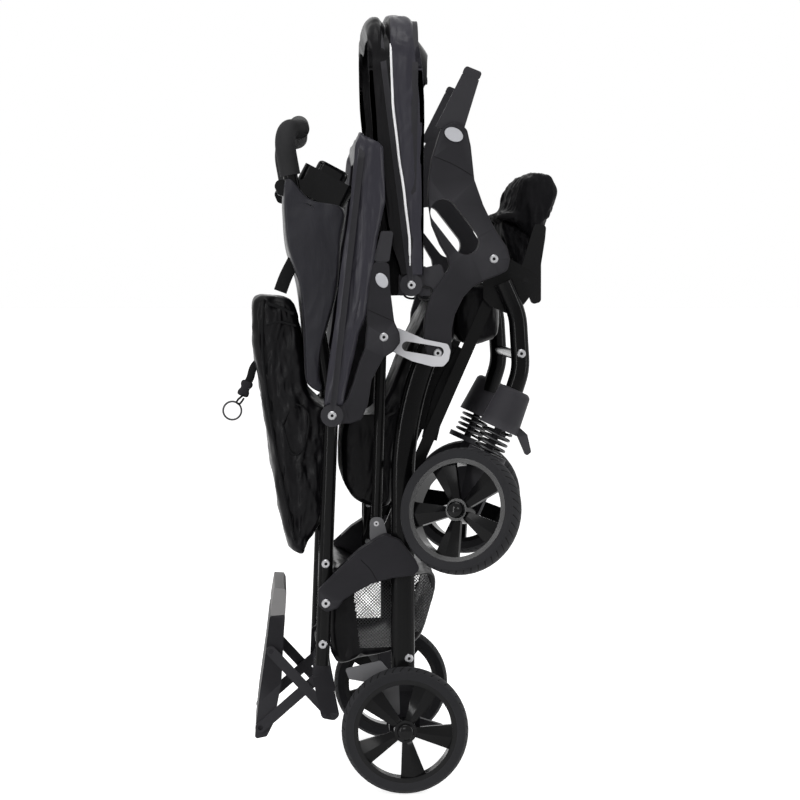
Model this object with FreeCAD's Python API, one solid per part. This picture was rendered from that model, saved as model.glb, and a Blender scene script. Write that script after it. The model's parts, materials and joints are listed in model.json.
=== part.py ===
import FreeCAD, Part
import math
import os
from FreeCAD import Vector

# Folded sit and stand stroller, standing upright on its rear wheels.
# X runs from the back of the folded package to its wheel side, Y across, Z up.
# The named places are measured from the rear axle along X and from the floor along Z.

# Running gear
WHEEL_DIAMETER = 192.0
TYRE_DEPTH = 18.0
TYRE_WIDTH = 38.0
RIM_WIDTH = 30.0
RIM_WALL = 7.0
RIM_LIP = 2.0
HUB_RADIUS = 17.0
HUB_LENGTH = 34.0
HUB_CAP_RADIUS = 12.0
HUB_CAP_RISE = 5.0
SPOKE_COUNT = 5
SPOKE_START_ANGLE = -8.0
SPOKE_INNER_WIDTH = 12.0
SPOKE_OUTER_WIDTH = 40.0
SPOKE_DEPTH = 13.0
SPOKE_RIDGE = 6.0
AXLE_RADIUS = 5.0
RUNNING_GAP = 0.05
TOLERANCE = 0.001
CLEARANCE = 0.3
REAR_WHEEL_Y = 247.0

# Side planes, each the middle of its layer
TUBE_Y = 200.0
ARM_DEPTH = 30.0
ARM_Y = 205.0
STRUT_Y = 175.0
LINK_Y = 160.0
REAR_ARM_DEPTH = 23.0
LATCH_THICKNESS = 4.0
PAD_HALF_WIDTH = 150.0

# Places of the pivots
ELBOW_PIVOT_X = -119.0
ELBOW_PIVOT_Z = 286.0
REAR_PIVOT_X = -110.0
REAR_PIVOT_Z = 572.5
STRUT_TOP_X = -32.0
STRUT_TOP_Z = 690.0
LEG_PIVOT_X = 136.0
LEG_PIVOT_Z = 807.5
CANOPY_PIVOT_X = 10.5
CANOPY_PIVOT_Z = 768.0
LEG_REST_X = 187.0
LEG_REST_Z = 776.0
LINK_LUG_X = -1.5
LINK_LUG_Z = -60.0
PIN_RADIUS = 4.0

# Main side tube
MAIN_TUBE_WIDTH = 36.0
MAIN_TUBE_DEPTH = 24.0
MAIN_TUBE_X = -1.0
MAIN_TUBE_FOOT_Z = 116.0
MAIN_TUBE_BEND_Z = 470.0
MAIN_TUBE_BEND_RADIUS = 517.0
MAIN_TUBE_TURN = 23.0
FRAME_BAR_RADIUS = 6.5
FRAME_BAR_LIFT = 20.0

# Elbow housing
ELBOW_LENGTH = 156.0
ELBOW_HEIGHT = 118.0
ELBOW_DEPTH = 38.0
ELBOW_Y = 205.0
ELBOW_SLOT = 25.0
ELBOW_SLOT_REACH = 34.0
ELBOW_ROUND = 7.0
ELBOW_SHARES = [(-0.0733, 0.1764), (0.0817, 0.3814), (0.3247, 0.6764), (0.5187, 0.8434),
                (0.5867, 0.8814), (0.7227, 0.8174), (0.8777, 0.5484), (0.9167, 0.4324), (0.8587, 0.3554),
                (0.6347, 0.3174), (0.4407, 0.2464), (0.2567, 0.1124), (0.1687, 0.0354),
                (0.1167, -0.0636), (0.0067, -0.1186), (-0.0713, -0.0286)]
EDGE_ROUND = 2.5

# Front arm
ARM_LENGTH = 131.0
ARM_HEIGHT = 372.0
ARM_ROUND = 12.0
ARM_SHARES = [(-0.458, 0.5578), (-0.313, 0.5278), (-0.268, 0.4578), (-0.226, 0.3208), (-0.123, 0.2188),
              (0.007, 0.1248), (0.152, 0.0478), (0.187, -0.0012), (0.162, -0.0472), (0.047, -0.0672),
              (-0.133, -0.0912), (-0.249, -0.1152), (-0.354, -0.1562), (-0.447, -0.2222),
              (-0.486, -0.2832), (-0.493, -0.3672), (-0.573, -0.4422), (-0.753, -0.4222),
              (-0.813, -0.3242), (-0.796, -0.2262), (-0.726, -0.1422), (-0.603, -0.0802),
              (-0.513, -0.0372), (-0.533, 0.0078), (-0.621, 0.0598), (-0.714, 0.1378), (-0.761, 0.2438),
              (-0.754, 0.3208), (-0.714, 0.4148), (-0.613, 0.5278)]
ARM_HOLE_SHARE = (-0.4504, 0.1304)
ARM_HOLE_LENGTH = 96.0
ARM_HOLE_WIDTH = 40.0
ARM_HOLE_ANGLE = -52.0
BUTTON_SHARE = (-0.4656, 0.504)
BUTTON_LENGTH = 29.0
BUTTON_WIDTH = 20.0
BUTTON_ANGLE = -25.0
BUTTON_DEPTH = 6.0
BUTTON_PROUD = 1.2
BUTTON_TRAVEL = 3.0

# Seat adapter post on the arm
POST_FOOT_SHARE = (-0.5191, 0.5175)
POST_TOP_SHARE = (-0.2672, 0.7379)
POST_FOOT_WIDTH = 42.0
POST_TOP_WIDTH = 27.0
POST_DEPTH = 18.0
CAP_HEIGHT = 13.0

# Rear arm
REAR_ARM_LENGTH = 117.0
REAR_ARM_HEIGHT = 243.0
REAR_ARM_ROUND = 9.0
REAR_ARM_SHARES = [(0.5303, 0.9486), (0.7373, 0.9486), (0.7503, 0.7736), (0.8023, 0.5796),
                   (0.8673, 0.5116), (0.8803, 0.4486), (0.7893, 0.3926), (0.6603, 0.3536),
                   (0.5103, 0.2176), (0.4643, 0.0686), (0.3803, -0.0264), (0.2303, -0.0514),
                   (-0.0027, -0.0514), (-0.1097, -0.0114), (-0.0897, 0.0486), (0.1803, 0.0836),
                   (0.2703, 0.1986), (0.3483, 0.3236), (0.4203, 0.4086), (0.4513, 0.5546),
                   (0.4383, 0.7116), (0.4773, 0.8676)]
REAR_CAP_WIDTH = 24.0
REAR_CAP_HEIGHT = 46.0

# Handle
HANDLE_TUBE_RADIUS = 11.0
HANDLE_FOOT_X = -124.5
HANDLE_FOOT_Z = 189.0
HANDLE_KNEE_X = -109.5
HANDLE_KNEE_Z = 590.0
HANDLE_SHOULDER_X = -184.0
HANDLE_SHOULDER_Z = 1003.0
HANDLE_BAR_X = -157.0
HANDLE_BAR_Z = 1007.0
HANDLE_BAR_Y = 140.0
HANDLE_CROWN_Y = 45.0
HANDLE_CROWN_RISE = 11.0
HANDLE_BEND = 34.0
FOAM_RADIUS = 15.5
FOAM_FOOT_Z = 934.0

# Parent tray
TRAY_X = -121.0
TRAY_Z = 915.0
TRAY_DEPTH = 84.0
TRAY_HEIGHT = 44.0
TRAY_HALF_WIDTH = 182.0
TRAY_TILT = 28.0
TRAY_WALL = 3.0
CUP_RADIUS = 34.0
CUP_Y = 125.0
TRAY_ROUND = 10.0
LID_LENGTH = 52.0
LID_THICKNESS = 20.0
LID_ROUND = 7.0
LID_OVERLAP = 4.0

# Main soft parts
POUCH_HALF_WIDTH = 214.0
SOFT_ROUND = 12.0
REAR_HUB_DEPTH = 7.0
SIDE_CLOTH = 2.4
ROOF_DEPTH = 46.0
BOW_WIDTH = 9.0
BOW_THICKNESS = 2.0

# Front leg and caster
LEG_TUBE_RADIUS = 14.0
LEG_LUG_THICKNESS = 3.6
CASTER_TILT = 24.0
STEM_X = 134.0
STEM_Z = 529.0
STEM_Y = 216.0
STEM_RADIUS = 6.0
BOOT_TOP_RADIUS = 25.0
BOOT_FOOT_RADIUS = 31.0
BOOT_TOP_HEIGHT = 88.0
BOOT_FOOT_HEIGHT = 24.0
SPRING_WIRE = 4.4
SPRING_RADIUS = 22.0
SPRING_TURNS = 4.0
SPRING_HEIGHT = 40.0
CASTER_DROP = 112.0
CASTER_TRAIL = 22.0
CASTER_OFFSET = 52.0
CASTER_ARM_THICKNESS = 9.0
RIGHT_SWIVEL_ANGLE = 30.0
LEFT_SWIVEL_ANGLE = -25.0

# Leg rest
REST_SHARES = [(0.2, 1.4167), (0.42, 1.3767), (0.48, 1.2667), (0.53, 1.1467), (0.48, 0.9367),
               (0.38, 0.7167), (0.27, 0.5367), (0.13, 0.5167), (-0.12, 0.7167), (-0.47, 0.7767),
               (-0.3, 0.8867), (-0.16, 0.9167), (-0.09, 1.1567), (0.05, 1.3367)]
REST_LENGTH = 100.0
REST_HEIGHT = 120.0

# Standing platform and its crossed links
LINK_FOOT_X = -114.0
LINK_FOOT_Z = 105.0
LINK_HEAD_X = -124.0
LINK_HEAD_Z = 163.0
PLATE_HIGH_X = -202.0
PLATE_HIGH_Z = 200.0
PLATE_LOW_X = -219.0
PLATE_LOW_Z = 80.0
PLATFORM_HALF_WIDTH = 118.0
CROSS_LINK_WIDTH = 16.0
CROSS_LINK_THICKNESS = 4.0

# Strut and cross link
STRUT_RADIUS = 8.0
KNUCKLE_X = ELBOW_PIVOT_X + STRUT_TOP_X - REAR_PIVOT_X
KNUCKLE_Z = ELBOW_PIVOT_Z + STRUT_TOP_Z - REAR_PIVOT_Z
BRACKET_THICKNESS = 2.4
LINK_WIDTH = 18.0
LINK_THICKNESS = 6.0
SEAT_SIDE_GAP = 6.0
SEAT_HALF_WIDTH = LINK_Y - LINK_THICKNESS - SEAT_SIDE_GAP
HEAD_RADIUS = 6.5
HEAD_RISE = 2.4
ARM_SCREW_SHARE = (-0.6489, -0.3831)
TUBE_SCREW_X = 8.0
TUBE_SCREW_Z = 200.0
HANDLE_SCREW_SHARES = [0.389, 0.0823]

# Clip that carries the front canopy's hub
CLIP_DEPTH = 22.0
CLIP_LENGTH = 74.0
CLIP_HEIGHT = 48.0
CANOPY_CLIP_SHARES = [(-0.25, -0.3333), (-0.25, 0.3333), (0.0203, 0.4583), (0.6149, 0.6667),
                      (0.75, 0.0833), (0.4662, -0.3333)]
HUB_DISC_RADIUS = 17.0

# Front leg, its plate and the leg rest arms
LEG_ROUTE_LENGTH = 27.0
LEG_ROUTE_HEIGHT = 182.0
LEG_ROUTE_SHARES = [(0.5926, -0.1951), (1.4074, -0.4698), (1.5926, -0.9203), (1, -1.1951)]
LEG_BEND = 90.0
LEG_PLATE_LENGTH = 84.0
LEG_PLATE_HEIGHT = 98.0
LEG_PLATE_SHARES = [(-0.1548, 0.0459), (0.0238, 0.148), (0.8333, -0.2398), (0.8095, -0.4439),
                    (0.5714, -0.7092), (0.2857, -0.852), (-0.0238, -0.7398), (-0.1667, -0.6173)]
LEG_SCREW_X = 178.5
LEG_SCREW_Z = 664.0
CROSSBAR_LIFT = 20.0
CROSSBAR_RADIUS = 8.0
LEVER_WIDTH = 18.0
LEVER_LENGTH = 24.0
LEVER_DROP = 22.0
STEM_LENGTH = 52.0
CROWN_DROP = 24.0
CROWN_RADIUS = 30.0
CROWN_HEIGHT = 8.0
REST_ARM_THICKNESS = 6.0
REST_ARM_LENGTH = 52.0
REST_ARM_HEIGHT = 100.0
REST_ARM_SHARES = [(-0.3269, 0.08), (-0.0962, 0.14), (0.25, 0.74), (0.3269, 0.86), (0.6731, 0.84),
                   (0.6346, 0.62), (0.5192, 0.24), (0.5192, -0.34), (0.25, -0.38), (0.0962, -0.16),
                   (-0.2115, -0.06)]

# Axle blocks, plates and brakes
BLOCK_DEPTH = 36.0
AXLE_BLOCK_LENGTH = 46.0
AXLE_BLOCK_HEIGHT = 100.0
AXLE_BLOCK_SHARES = [(-0.4783, -0.14), (-0.4783, 0.54), (-0.4239, 0.8), (0.3804, 0.8), (0.5217, 0.54),
                     (0.5217, -0.12), (0, -0.2)]
GREY_PLATE_LENGTH = 84.0
GREY_PLATE_HEIGHT = 86.0
GREY_PLATE_SHARES = [(-1.0714, 1.0465), (-0.4286, 1.186), (-0.0952, 0.814), (-0.0714, 0.186),
                     (-0.3095, 0.3023), (-0.619, 0.7907), (-1, 0.8605)]
PLATE_THICKNESS = 3.0
BRAKE_WIDTH = 14.0
BRAKE_LEVER_LENGTH = 75.0
BRAKE_LEVER_HEIGHT = 24.0
BRAKE_LEVER_SHARES = [(-0.1467, 0), (-0.1067, 0.4583), (0.16, 0.5), (0.8267, -0.1667), (0.8533, -0.5),
                      (0.1867, -0.4167), (0, -0.5)]

# Fold latch
LATCH_LENGTH = 114.0
LATCH_HEIGHT = 58.0
LATCH_OUTLINE_SHARES = [(-0.1053, 0), (-0.0175, 0.2241), (0.2105, 0.2241), (0.5526, -0.069),
                        (0.8596, -0.1897), (0.8947, -0.3793), (0.8684, -0.6207), (0.7982, -0.7759),
                        (0.6491, -0.7759), (0.386, -0.6379), (0.114, -0.3793), (-0.0526, -0.2414)]
LATCH_SLOT_SHARE = (0.5263, -0.319)
LATCH_SLOT_LENGTH = 64.0
LATCH_SLOT_WIDTH = 15.0
LATCH_SLOT_ANGLE = -9.5

# Platform outlines
HANGER_LENGTH = 42.0
HANGER_HEIGHT = 116.0
PLATFORM_BRACKET_SHARES = [(-0.5238, 0.8707), (0, 0.8879), (0.2381, 0.3017), (0.4286, -0.0431),
                           (0.2381, -0.1121), (-0.2381, -0.0776), (-0.5714, 0.4741)]
CROSS_TUBE_SHARE = 0.0175
CROSS_TUBE_RADIUS = 7.0
PLATFORM_LENGTH = 48.0
PLATFORM_HEIGHT = 194.0
PLATFORM_OUTLINE_SHARES = [(-0.0417, 0.2784), (0.4583, 0.2887), (0.3958, 0.0722), (0.3333, -0.2577),
                           (0.0833, -0.5773), (-0.1458, -0.6907), (-0.5417, -0.7113), (-0.4167, -0.4227),
                           (-0.1875, -0.0206)]
PLATFORM_POCKET_SHARES = [(0.125, 0.2371), (0.5417, 0.2474), (0.4792, -0.2577), (0.2083, -0.5567),
                          (-0.0208, -0.5567), (0, -0.2577), (0.0833, -0.0206)]
RIB_THICKNESS = 3.0
POCKET_COUNT = 6
TREAD_OUTLINE_SHARES = [(-0.0208, 0.2799), (-0.0208, 0.3196), (0.1042, 0.5052), (0.4375, 0.5),
                        (0.5, 0.4639), (0.4583, 0.2902)]

# Tray clamps
TRAY_CLAMP_LENGTH = 56.0
TRAY_CLAMP_HEIGHT = 38.0
TRAY_CLAMP_SHARES = [(-1.3393, 0.0789), (-1.2679, 0.3158), (-0.8393, 0.3684), (-0.3393, 0.3158),
                     (-0.3393, -0.2895), (-0.875, -0.3947), (-1.2321, -0.2895)]

# Folded canopies, bag, pouch, basket and seats in the side view
CANOPY_ROUND = 5.0
FRONT_CANOPY_LENGTH = 98.0
FRONT_CANOPY_HEIGHT = 448.0
FRONT_CANOPY_SHARES = [(-0.6684, 0.92), (-0.3724, 0.92), (-0.3112, 0.9375), (0.0357, 0.9464),
                       (0.199, 0.9), (0.3316, 0.8214), (0.2092, 0.75), (0.2092, 0.2946),
                       (0.2296, 0.0625), (0.1786, -0.0268), (-0.1684, -0.0357), (-0.25, 0.0714),
                       (-0.3724, 0.25), (-0.5765, 0.5402), (-0.6582, 0.7411)]
FRONT_BOWS_SHARES = [(0.0765, 0.9018), (-0.5153, 0.9018)]
FRONT_CANOPY_CORNER = 82.0
REAR_CANOPY_LENGTH = 98.0
REAR_CANOPY_HEIGHT = 442.0
REAR_CANOPY_SHARES = [(0.4286, 0.9717), (0.7143, 0.9717), (0.8367, 0.931), (0.8776, 0.741),
                      (0.7449, 0.6052), (0.551, 0.3676), (0.4286, 0.2658), (0.2245, 0.0667),
                      (0.0612, -0.0283), (-0.1224, -0.0147), (-0.0816, 0.1527), (0.102, 0.3903),
                      (0.3163, 0.7636)]
REAR_ROOF_SHARE = 0.5204
REAR_BOWS_SHARES = [(0.4796, 0.9333)]
REAR_CANOPY_CORNER = 28.0
POUCH_LENGTH = 91.0
POUCH_HEIGHT = 330.0
POUCH_SHARES = [(-0.6373, 0.0576), (-0.6373, -0.2333), (-0.4285, -0.4393), (-0.3406, -0.6515),
                (-0.3077, -0.8696), (-0.2307, -0.9181), (-0.011, -0.9424), (-0.0549, -0.8575),
                (-0, -0.706), (0.2308, -0.4696), (0.3077, -0.2393), (0.3627, -0.106),
                (-0.2088, -0.0636)]
BAG_LENGTH = 107.0
BAG_HEIGHT = 401.0
REAR_BAG_SHARES = [(-1.0047, 0.4115), (-1.1168, 0.3491), (-1.1262, 0.2244), (-1.0888, 0.1446),
                   (-1.0234, 0.0349), (-0.9393, -0.1147), (-0.8458, -0.2743), (-0.7336, -0.4439),
                   (-0.5841, -0.5636), (-0.3879, -0.5885), (-0.3131, -0.5436), (-0.0701, -0.4239),
                   (-0.0327, -0.2244), (-0.0093, -0.0449), (-0.1542, -0.015), (-0.3785, 0.0399),
                   (-0.4533, 0.1746), (-0.5841, 0.3741)]
BASKET_LENGTH = 162.0
BASKET_HEIGHT = 134.0
BASKET_SHARES = [(0.0556, 0.3284), (0.3642, 0.2388), (0.7963, 0.2687), (0.9815, 0.3134),
                 (1.0556, 0.2239), (1.0185, -0.0746), (0.8951, -0.4627), (0.6852, -0.5821),
                 (0.3642, -0.6716), (0.0679, -0.6716)]
SEAT_LENGTH = 70.0
SEAT_HEIGHT = 100.0
FRONT_SEAT_SHARES = [(-0.8, -0.435), (-0.4, -0.315), (0.0857, -0.435), (0.2, -0.725), (0.2, -1.175),
                     (-0.3429, -1.315), (-0.7429, -1.235)]
SEAT_BACK_LENGTH = 166.0
SEAT_BACK_HEIGHT = 336.0
SEAT_BACK_SHARES = [(-0.5693, -0.6012), (-0.2801, -0.5833), (0.0572, -0.2321), (0.2982, -0.0119),
                    (0.4163, -0.0298), (0.438, -0.2381), (0.3102, -0.3095), (0.0693, -0.5),
                    (-0.1114, -0.7381), (-0.1476, -0.9881), (-0.3042, -1.0238), (-0.5211, -0.9762),
                    (-0.6175, -0.8571)]
SEAT_WING_SHARES = [(-0.1536, -0.66), (-0.1536, -0.52), (0.05, -0.42), (0.1, -0.42), (0.1, -0.6), (-0.02, -0.66)]

# Tether
TETHER_Y = -140.0
TETHER_WIDTH = 20.0
TETHER_LENGTH = 13.0
TETHER_HEIGHT = 33.0
TETHER_STRAP_SHARES = [(2.2308, 2.2727), (2.6538, 2.303), (2.9231, 1.4242), (2.0769, 1.303),
                       (1.9231, 1.4848), (2.4615, 1.5758)]
TETHER_BUCKLE_SHARES = [(1.3846, 1.4242), (2.6923, 1.2424), (1.6154, 0.2727), (0.2308, 0.4545)]
RING_X = -261.0
RING_Z = 575.0
RING_RADIUS = 14.0
RING_WIRE = 0.9
RING_HINGE_SHARE = (0.9231, 0.303)
RING_SWING_ANGLES = (0.0, -20.0, 6.0)

# Places that carry other pieces, and planes that follow from the layers between them
AXLE_PLACE = (0, WHEEL_DIAMETER / 2)
ELBOW_PLACE = (ELBOW_PIVOT_X, ELBOW_PIVOT_Z)
REAR_PLACE = (REAR_PIVOT_X, REAR_PIVOT_Z)
STRUT_TOP_PLACE = (STRUT_TOP_X, STRUT_TOP_Z)
KNUCKLE_PLACE = (KNUCKLE_X, KNUCKLE_Z)
LEG_PLACE = (LEG_PIVOT_X, LEG_PIVOT_Z)
CANOPY_PLACE = (CANOPY_PIVOT_X, CANOPY_PIVOT_Z)
REST_PLACE = (LEG_REST_X, LEG_REST_Z)
TRAY_PLACE = (TRAY_X, TRAY_Z)
KNEE_PLACE = (HANDLE_KNEE_X, HANDLE_KNEE_Z)
LINK_FOOT_PLACE = (LINK_FOOT_X, LINK_FOOT_Z)
PLATE_HIGH_PLACE = (PLATE_HIGH_X, PLATE_HIGH_Z)
RING_PLACE = (RING_X, RING_Z)
LATCH_Y = ARM_Y + ARM_DEPTH / 2 + HEAD_RISE + CLEARANCE + LATCH_THICKNESS / 2
REAR_ARM_Y = LATCH_Y + LATCH_THICKNESS / 2 + CLEARANCE + REAR_ARM_DEPTH / 2
FRONT_CANOPY_HALF_WIDTH = REAR_ARM_Y - REAR_ARM_DEPTH / 2 - CLEARANCE
REAR_CANOPY_HALF_WIDTH = REAR_ARM_Y + REAR_ARM_DEPTH / 2 + 2 * CLEARANCE + REAR_HUB_DEPTH + SIDE_CLOTH
FRONT_BOW_Y = FRONT_CANOPY_HALF_WIDTH - SIDE_CLOTH - CLEARANCE - BOW_THICKNESS / 2

FULL_TURN = 360.0
Y_AXIS = Vector(0, 1, 0)
Z_AXIS = Vector(0, 0, 1)
pieces = {}


def at(x, z, y=0.0):
    """A point from its place in the side view and its side plane."""
    return Vector(x, y, z)


def corner_wire(points, radius):
    """A closed wire through the points, each corner rounded as far as its runs allow."""
    edges = []
    starts = []
    count = len(points)
    for index, corner in enumerate(points):
        before = points[index - 1].sub(corner)
        after = points[(index + 1) % count].sub(corner)
        half = before.getAngle(after) / 2
        room = min(before.Length, after.Length) / 2.2
        trim = min(radius / math.tan(half), room)
        first = corner.add(Vector(before).normalize().multiply(trim))
        last = corner.add(Vector(after).normalize().multiply(trim))
        inward = Vector(before).normalize().add(Vector(after).normalize())
        starts.append((first, last))
        if inward.Length < TOLERANCE:
            continue
        arc_radius = trim * math.tan(half)
        middle = corner.add(inward.normalize().multiply(arc_radius / math.sin(half) - arc_radius))
        edges.append((index, Part.Arc(first, middle, last).toShape()))
    arcs = dict(edges)
    ordered = []
    for index in range(count):
        if index in arcs:
            ordered.append(arcs[index])
        here = starts[index][1]
        there = starts[(index + 1) % count][0]
        ordered.append(Part.LineSegment(here, there).toShape())
    return Part.Wire(ordered)


def slab(points, centre, depth, radius):
    """A plate in the side view: its outline is rounded and it is centred on a side plane."""
    wire = corner_wire([at(x, z, centre - depth / 2) for x, z in points], radius)
    return Part.Face(wire).extrude(Vector(0, depth, 0))


def spread(shares, place, length, height):
    """Turn a table of shares about a carrying place into side view places."""
    return [(place[0] + sx * length, place[1] + sz * height) for sx, sz in shares]


def on_arm(share):
    """A side view place on the front arm."""
    return spread([share], LEG_PLACE, ARM_LENGTH, ARM_HEIGHT)[0]


def on_leg(share):
    """A side view place on the handle's leg, between its foot and its knee."""
    return (HANDLE_FOOT_X + share * (HANDLE_KNEE_X - HANDLE_FOOT_X),
            HANDLE_FOOT_Z + share * (HANDLE_KNEE_Z - HANDLE_FOOT_Z))


def rod(start, end, radius):
    """A round bar from one point to another."""
    axis = end.sub(start)
    return Part.makeCylinder(radius, axis.Length, start, axis)


def pin(x, z, low, high, radius=PIN_RADIUS):
    """A round bar across the object at one side view place."""
    return Part.makeCylinder(radius, high - low, at(x, z, low), Y_AXIS)


def bent_tube(points, radius, bend):
    """A round tube of straight runs joined by tangent arcs."""
    edges = []
    here = points[0]
    for before, corner, after in zip(points, points[1:], points[2:]):
        back = before.sub(corner).normalize()
        on = after.sub(corner).normalize()
        half = back.getAngle(on) / 2
        trim = bend / math.tan(half)
        first = corner.add(Vector(back).multiply(trim))
        last = corner.add(Vector(on).multiply(trim))
        middle = corner.add(back.add(on).normalize().multiply(bend / math.sin(half) - bend))
        edges.append(Part.LineSegment(here, first).toShape())
        edges.append(Part.Arc(first, middle, last).toShape())
        here = last
    edges.append(Part.LineSegment(here, points[-1]).toShape())
    along = points[1].sub(points[0])
    ring = Part.Wire(Part.makeCircle(radius, points[0], along))
    return Part.Wire(edges).makePipeShell([ring], True, False)


def rounded_box(size, centre, radius):
    """A box with its upright edges rounded."""
    half_x = size.x / 2
    half_y = size.y / 2
    corners = [Vector(sx * half_x, sy * half_y, -size.z / 2) for sx, sy in ((-1, -1), (1, -1), (1, 1), (-1, 1))]
    box = Part.Face(corner_wire(corners, radius)).extrude(Vector(0, 0, size.z))
    box.translate(centre)
    return box


def flipped(shape):
    """The same piece on the other side of the object."""
    return shape.mirror(Vector(0, 0, 0), Y_AXIS)


def both_sides(shapes):
    """One group with the shapes of both sides. They are modelled on the side of positive Y."""
    group = list(shapes)
    return Part.makeCompound(group + [flipped(shape) for shape in group])


def add_pair(name, *shapes):
    """Keep one node with the given solids and their opposites."""
    pieces[name] = both_sides(shapes)


def add_each(name, *shapes):
    """Keep a node of its own on each side, for pieces that move by themselves."""
    pieces[name + "_left"] = Part.makeCompound(list(shapes))
    pieces[name + "_right"] = Part.makeCompound([flipped(shape) for shape in shapes])


def main_tube():
    """The oval side tube: straight up from the axle block, then bent towards the arm."""
    start = at(MAIN_TUBE_X, MAIN_TUBE_FOOT_Z, TUBE_Y)
    knee = at(MAIN_TUBE_X, MAIN_TUBE_BEND_Z, TUBE_Y)
    turn = math.radians(MAIN_TUBE_TURN)

    def on_bend(angle):
        across = MAIN_TUBE_BEND_RADIUS * (1 - math.cos(angle))
        return knee.add(Vector(across, 0, MAIN_TUBE_BEND_RADIUS * math.sin(angle)))

    path = Part.Wire([Part.LineSegment(start, knee).toShape(),
                      Part.Arc(knee, on_bend(turn / 2), on_bend(turn)).toShape()])
    major = start.add(Vector(MAIN_TUBE_WIDTH / 2, 0, 0))
    minor = start.add(Vector(0, MAIN_TUBE_DEPTH / 2, 0))
    ellipse = Part.Ellipse(major, minor, start)
    return path.makePipeShell([Part.Wire(ellipse.toShape())], True, False)


def elbow():
    """The moulded elbow that holds the side tube and forks around the handle tube."""
    outline = spread(ELBOW_SHARES, ELBOW_PLACE, ELBOW_LENGTH, ELBOW_HEIGHT)
    body = slab(outline, ELBOW_Y, ELBOW_DEPTH, ELBOW_ROUND)
    body = body.makeFillet(EDGE_ROUND, rim_edges(body, ELBOW_Y + ELBOW_DEPTH / 2))
    reach = ELBOW_SLOT_REACH + ELBOW_SLOT
    slot = Part.makeBox(ELBOW_SLOT_REACH + reach, ELBOW_SLOT, 2 * ELBOW_HEIGHT,
                        Vector(ELBOW_PIVOT_X - reach, TUBE_Y - ELBOW_SLOT / 2, ELBOW_PIVOT_Z - ELBOW_HEIGHT))
    bore = pin(ELBOW_PIVOT_X, ELBOW_PIVOT_Z, 0, ELBOW_Y + ELBOW_DEPTH, PIN_RADIUS)
    return body.cut(slot).cut(bore)


def rim_edges(shape, plane):
    """The edges of a slab that lie in one side plane."""
    return [edge for edge in shape.Edges
            if max(abs(edge.BoundBox.YMin - plane), abs(edge.BoundBox.YMax - plane)) < TOLERANCE]


def slot_wire(x, z, y, length, width, angle):
    """A long hole with round ends, turned in the side view."""
    half = (length - width) / 2
    radius = width / 2
    turn = math.radians(angle)
    along = Vector(math.cos(turn), 0, math.sin(turn))
    across = Vector(-math.sin(turn), 0, math.cos(turn))
    centre = at(x, z, y)

    def place(a, b):
        return centre.add(Vector(along).multiply(a)).add(Vector(across).multiply(b))

    return Part.Wire([
        Part.LineSegment(place(-half, -radius), place(half, -radius)).toShape(),
        Part.Arc(place(half, -radius), place(half + radius, 0), place(half, radius)).toShape(),
        Part.LineSegment(place(half, radius), place(-half, radius)).toShape(),
        Part.Arc(place(-half, radius), place(-half - radius, 0), place(-half, -radius)).toShape()])


def oval(x, z, low, depth, length, width, angle):
    """An oval stud across the object."""
    centre = at(x, z, low)
    turn = math.radians(angle)
    major = centre.add(Vector(math.cos(turn), 0, math.sin(turn)).multiply(length / 2))
    minor = centre.add(Vector(-math.sin(turn), 0, math.cos(turn)).multiply(width / 2))
    ring = Part.Wire(Part.Ellipse(major, minor, centre).toShape())
    return Part.Face(ring).extrude(Vector(0, depth, 0))


def front_arm(tube):
    """The moulded front arm, open in its middle, with the seat of its release button."""
    outer = ARM_Y + ARM_DEPTH / 2
    body = slab(spread(ARM_SHARES, LEG_PLACE, ARM_LENGTH, ARM_HEIGHT), ARM_Y, ARM_DEPTH, ARM_ROUND)
    hole = Part.Face(slot_wire(*on_arm(ARM_HOLE_SHARE), ARM_Y - ARM_DEPTH, ARM_HOLE_LENGTH, ARM_HOLE_WIDTH,
                               ARM_HOLE_ANGLE)).extrude(Vector(0, 2 * ARM_DEPTH, 0))
    body = body.makeFillet(EDGE_ROUND, rim_edges(body, outer)).cut(hole)
    bore = pin(*LEG_PLACE, 0, outer + ARM_DEPTH, PIN_RADIUS)
    return body.cut(button_seat()).cut(bore).cut(tube)


def button_seat():
    """The space that the release button slides in."""
    depth = BUTTON_DEPTH + BUTTON_TRAVEL
    return oval(*on_arm(BUTTON_SHARE), ARM_Y + ARM_DEPTH / 2 - depth, depth + ARM_DEPTH,
                BUTTON_LENGTH + 2 * CLEARANCE, BUTTON_WIDTH + 2 * CLEARANCE, BUTTON_ANGLE)


def arm_button():
    """The oval release button in the arm's head."""
    outer = ARM_Y + ARM_DEPTH / 2
    return oval(*on_arm(BUTTON_SHARE), outer + BUTTON_PROUD - BUTTON_DEPTH, BUTTON_DEPTH, BUTTON_LENGTH,
                BUTTON_WIDTH, BUTTON_ANGLE)


def adapter(arm):
    """The tapered post that carries a seat, and its cap."""
    foot_place = at(*on_arm(POST_FOOT_SHARE))
    top_place = at(*on_arm(POST_TOP_SHARE))
    lean = top_place.sub(foot_place)
    across = Vector(lean.z, 0, -lean.x).normalize()

    def end(place, width):
        return [place.sub(Vector(across).multiply(width / 2)), place.add(Vector(across).multiply(width / 2))]

    foot = end(foot_place, POST_FOOT_WIDTH)
    top = end(top_place, POST_TOP_WIDTH)
    body = slab([(p.x, p.z) for p in (foot[0], foot[1], top[1], top[0])], ARM_Y, POST_DEPTH, CLEARANCE)
    rise = Vector(lean).normalize().multiply(CAP_HEIGHT)
    cap_points = [top[0], top[1], top[1].add(rise), top[0].add(rise)]
    cap = slab([(p.x, p.z) for p in cap_points], ARM_Y, POST_DEPTH + CLEARANCE, CAP_HEIGHT / 3)
    return body.cut(arm).cut(button_seat()), cap.cut(body)


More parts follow.
